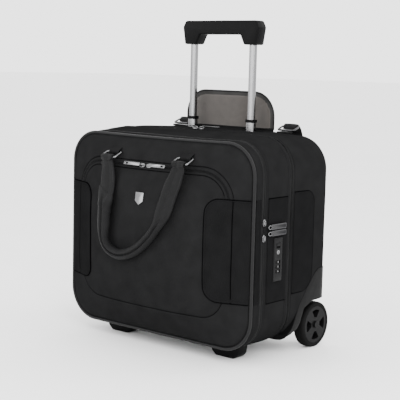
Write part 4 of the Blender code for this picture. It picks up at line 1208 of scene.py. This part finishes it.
def flap():
    """The flap behind the trolley: a suede lining, a bound edge and the outer cloth."""
    low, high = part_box("flap")
    half, top, base = high.x, high.z, low.z
    middle_y = (low.y + high.y) / 2
    radius = 0.045
    across, up = 60, 40

    def edge_in(x, z):
        """How far a point is inside the flap's round-topped outline."""
        qx, qz = abs(x) - half + radius, z - top + radius
        if qx > 0 and qz > 0:
            return radius - math.hypot(qx, qz)
        return min(half - abs(x), top - z)

    def grid(face):
        points = []
        for j in range(up + 1):
            z = base + (top - base) * (1 - (1 - j / up) ** 1.6)
            rise = max(z - top + radius, 0.0)
            width = half - radius + math.sqrt(max(radius ** 2 - rise ** 2, 0.0))
            for i in range(across + 1):
                x = width * math.sin(math.pi / 2 * (2 * i / across - 1))
                inside = max(edge_in(x, z), 0.0)
                thick = 0.0007 + 0.0008 * smooth(inside / 0.02)
                thick += wobble((x, face, z), 0.03, 0.0003) * smooth(inside / 0.01)
                if face < 0:
                    thick -= groove(inside - 0.0085, 0.0009, 0.0008)
                    thick -= groove((z - base - 0.012) - abs(x) * 0.42, 0.0012, 0.0005)
                points.append((x, middle_y + face * thick, z))
        return points

    front, rear = grid(-1), grid(1)
    verts = front + rear
    faces, kinds = [], []
    shift = len(front)
    for j in range(up):
        for i in range(across):
            a = j * (across + 1) + i
            x, _, z = front[a]
            rim = edge_in(x, z) < 0.0080
            faces.append((a, a + 1, a + across + 2, a + across + 1))
            kinds.append(1 if rim else 0)
            faces.append((shift + a, shift + a + across + 1, shift + a + across + 2, shift + a + 1))
            kinds.append(2)
    piece = new_piece("flap_panel", verts, faces, ["suede", "rim", "case_fabric"], "flap", kinds)
    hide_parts("flap")
    edge = (run((-half, base), (-half, top - radius), 8)
            + arc((-half + radius, top - radius), radius, 180, 90, 16)
            + run((-half + radius, top), (half - radius, top), 24)
            + arc((half - radius, top - radius), radius, 90, 0, 16)
            + run((half, top - radius), (half, base), 8) + [(half, base)])
    tube("flap_binding", [(x, middle_y, z) for x, z in edge], 0.0017, "piping", "flap")
    ridge = [Vector((-half + 2 * half * i / 40, middle_y, base)) for i in range(41)]
    tube("flap_fold", ridge, FOLD_RADIUS, "case_fabric", "flap")
    low, high = TOP_Z - 0.004, base - FOLD_RADIUS * 0.8  # its top is hidden in the fold
    path = [Vector((p.x, p.y, (low + high) / 2)) for p in ridge]
    frames = [(Vector((0, 0, 1)), Vector((0, 1, 0)))] * len(path)
    sweep("flap_root", path, frames, lambda i: strap_section(high - low, 0.0030, 24), "case_fabric",
          "case")


# ---------------------------------------------------------------- hardware

PAIRED = (  # name before left or right, finish, and how far its edges are rounded
    ("foot_", "moulded_plastic", 0.0010), ("tyre_", "tyre", 0.0005), ("hub_", "gloss_plastic", 0.0008),
    ("axle_", "gloss_plastic", 0.0005), ("front_ring_", "chrome", 0.0),
    ("rear_ring_", "dull_chrome", 0.0), ("upper_tube_", "tube_alloy", 0.0003),
    ("lower_tube_", "tube_alloy", 0.0003), ("outer_tube_", "steel", 0.0003),
    ("collar_", "moulded_plastic", 0.0005))
SINGLE = (
    ("grip", "moulded_plastic", 0.0010), ("release_button", "gloss_plastic", 0.0004),
    ("badge", "chrome", 0.0003), ("lock_housing", "lock_body", 0.0004),
    ("lock_key_barrel", "chrome", 0.0003), ("lock_release", "gloss_plastic", 0.0003),
    ("lock_dial_1", "lock_dial", 0.0002), ("lock_dial_2", "lock_dial", 0.0002),
    ("lock_dial_3", "lock_dial", 0.0002), ("trolley_foot", "steel", 0.0006),
    ("trolley_board", "board", 0.0004), ("handle_well", "board", 0.0004),
    ("lining_wall", "lining", 0.0006))


def hardware():
    """Smooth-edged metal and plastic pieces in place of the plain ones."""
    for word, way in (("left", Vector((-1, 0, 0))), ("right", Vector((1, 0, 0)))):
        refined("wheel_housing_" + word, "moulded_plastic", 0.0016, 3)
        for start, finish, bevel in PAIRED:
            refined(start + word, finish, bevel)
        low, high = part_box(f"pocket_zip_{word}_slider")
        lean = front_normal((low.x + high.x) / 2, (low.z + high.z) / 2)
        zip_slider(f"pocket_zip_{word}_slider", way, lean)
        zip_slider(f"rear_zip_{word}_slider", way, Vector((0, 0, 1)))
        refined(f"pocket_zip_{word}_pull", "chrome", 0.0003)
        refined(f"rear_zip_{word}_pull", "dull_chrome", 0.0003)
    for word, way in (("upper", 1), ("lower", -1)):
        zip_slider(f"main_zip_{word}_slider", Vector((0, 0, way)), Vector((1, 0, 0)))
        pull_tab(f"main_zip_{word}_pull")
    for node, finish, bevel in SINGLE:
        refined(node, finish, bevel)


def in_frame(centre, along, across, out, u, v, w):
    """A point from its coordinates along three directions."""
    return centre + along * u + across * v + out * w


def zip_slider(node, along, out):
    """A cast slider: a flared body with a bridge over it."""
    low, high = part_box(node)
    centre = (low + high) / 2
    across = along.cross(out).normalized()
    loops = []
    base = -0.0018 if out.x > 0.9 else -0.0026
    for height, length, width in ((base, 0.0056, 0.0034), (base + 0.0002, 0.0060, 0.0038),
                                  (-0.0008, 0.0060, 0.0038), (-0.0004, 0.0055, 0.0034)):
        loop = []
        for k in range(28):
            a = math.tau * k / 28
            c, d = math.cos(a), math.sin(a)
            flare = 1 - 0.28 * smooth(-c * 1.2)
            loop.append(in_frame(centre, along, across, out,
                                 length * math.copysign(abs(c) ** 0.6, c),
                                 width * flare * math.copysign(abs(d) ** 0.6, d), height))
        loops.append(loop)
    verts = [p for loop in loops for p in loop]
    count = len(loops[0])
    faces = loft(loops) + [tuple(range(count)), tuple(range(3 * count, 4 * count))]
    body = body_with(node)
    piece = new_piece(node + "_body", verts, faces, "chrome", body, sharp=40)
    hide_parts(node)
    bridge = [(-0.0046, -0.0010), (-0.0042, 0.0008), (-0.0025, 0.0016), (0.0, 0.0018), (0.0025, 0.0016),
              (0.0042, 0.0008), (0.0046, -0.0010)]
    points = smooth_path([in_frame(centre, along, across, out, u, 0, w) for u, w in bridge], 5)
    tube(node + "_bridge", points, 0.0008, "chrome", body, sides=8)


TAB_NECK, TAB_SHORTER = 0.0085, 0.0040  # room for the link, and for the rounded end


def pull_tab(node):
    """A flat rubbery-grey tab with a bright rim, held by a round link."""
    low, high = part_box(node)
    centre = (low + high) / 2
    half_z = (high.z - low.z) / 2
    y0, y1 = low.y + TAB_NECK, high.y - TAB_SHORTER
    loops = []
    for x, inset in ((high.x - 0.0004, 0.0016), (high.x, 0.0011), (high.x, 0.0004),
                     (high.x - 0.0004, 0.0), (low.x + 0.0004, 0.0), (low.x, 0.0005)):
        outline = []
        r = 0.0022 - inset * 0.6
        half = half_z - inset
        for cy, cz, start in ((y1 - inset - r, half - r, 0), (y0 + inset + r, half - r, 90),
                              (y0 + inset + r, -half + r, 180), (y1 - inset - r, -half + r, 270)):
            outline += arc((cy, cz), r, start, start + 90, 5)
        loops.append([(x, y, centre.z + z) for y, z in outline])
    count = len(loops[0])
    verts = [p for loop in loops for p in loop]
    faces = loft(loops) + [tuple(range(count)), tuple(range(5 * count, 6 * count))]
    kinds = [1] * (5 * count) + [0, 0]
    body = body_with(node)
    piece = new_piece(node + "_tab", verts, faces, ["zip_tab", "tab_rim"], body, kinds)
    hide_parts(node)
    link = [(centre.x, y0 + 0.0016 - 0.0042 + 0.0042 * math.cos(a), centre.z + 0.0030 * math.sin(a))
            for a in (math.tau * k / 24 for k in range(24))]
    tube(node + "_link", link, 0.0008, "chrome", body, closed=True, sides=8)


def dial_digits():
    """A digit on each dial."""
    for k in (1, 2, 3):
        low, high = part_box(f"lock_dial_{k}")
        text = bpy.data.curves.new("digit", "FONT")
        text.body = "0"
        text.size = 0.0042
        text.align_x, text.align_y = "CENTER", "CENTER"
        text.extrude = 0.0001
        shape = bpy.data.objects.new("digit", text)
        bpy.context.scene.collection.objects.link(shape)
        graph = bpy.context.evaluated_depsgraph_get()
        mesh = bpy.data.meshes.new_from_object(shape.evaluated_get(graph))
        bpy.data.objects.remove(shape)
        turn = Matrix(((0, 0, 1), (1, 0, 0), (0, 1, 0))).to_4x4()
        middle = (low + high) / 2
        mesh.transform(Matrix.Translation((high.x + 0.00005, middle.y, middle.z)) @ turn)
        mesh.materials.clear()
        mesh.materials.append(FINISHES["digit"])
        piece = bpy.data.objects.new(f"dial_digit_{k}", mesh)
        bpy.context.scene.collection.objects.link(piece)
        mounted(piece, "digit", f"lock_dial_{k}")


# ---------------------------------------------------------------- stage

def studio():
    """A pale floor, a white world and soft lights."""
    world = bpy.data.worlds.new("studio")
    world.use_nodes = True
    world.node_tree.nodes["Background"].inputs["Color"].default_value = (1.0, 1.0, 1.0, 1.0)
    world.node_tree.nodes["Background"].inputs["Strength"].default_value = 3.0
    bpy.context.scene.world = world
    mesh = bpy.data.meshes.new("floor")
    size = 30.0
    mesh.from_pydata([(-size, -size, 0), (size, -size, 0), (size, size, 0), (-size, size, 0)], [],
                     [(0, 1, 2, 3)])
    pale, tree, shader, where = base_material("floor", (0.86, 0.86, 0.86), 0.7)
    mottle(tree, shader, where, (0.86, 0.86, 0.86), 0.01, 3.0)
    mesh.materials.append(pale)
    floor = bpy.data.objects.new("floor", mesh)
    bpy.context.scene.collection.objects.link(floor)
    for name, place, size, power in (("key", (1.9, -1.5, 1.5), 1.4, 70.0),
                                     ("fill", (-1.2, -2.4, 1.0), 1.8, 50.0),
                                     ("rim", (1.4, 1.6, 1.6), 1.2, 20.0)):
        light = bpy.data.lights.new(name, "AREA")
        light.shape = "DISK"
        light.size = size
        light.energy = power
        lamp = bpy.data.objects.new(name, light)
        bpy.context.scene.collection.objects.link(lamp)
        lamp.location = place
        aim = Vector((0, 0, 0.25)) - Vector(place)
        lamp.rotation_mode = "QUATERNION"
        lamp.rotation_quaternion = aim.to_track_quat("-Z", "Y")


def camera():
    """The camera at the viewing angle of a three-quarter product shot."""
    azimuth, pitch, roll = (math.radians(a) for a in (40.344, 7.162, 1.409))
    back = Vector((math.sin(azimuth) * math.cos(pitch), -math.cos(azimuth) * math.cos(pitch),
                   math.sin(pitch)))
    level = Vector((math.cos(azimuth), math.sin(azimuth), 0))
    up = back.cross(level)
    right = level * math.cos(roll) + up * math.sin(roll)
    top = up * math.cos(roll) - level * math.sin(roll)
    made = bpy.data.cameras.new("camera")
    made.sensor_width = 36.0
    made.lens = 98.4
    eye = bpy.data.objects.new("camera", made)
    bpy.context.scene.collection.objects.link(eye)
    turn = Matrix((right, top, back)).transposed().to_4x4()
    eye.matrix_world = Matrix.Translation((1.3005, -1.5123, 0.5109)) @ turn
    bpy.context.scene.camera = eye


camera()
studio()
rear_section()
middle_section()
lid_section()
section_zips()
pocket_zip()
patches()
seam_lines()
front_handle()
rear_handle()
ring_tabs()
flap()
hardware()
dial_digits()
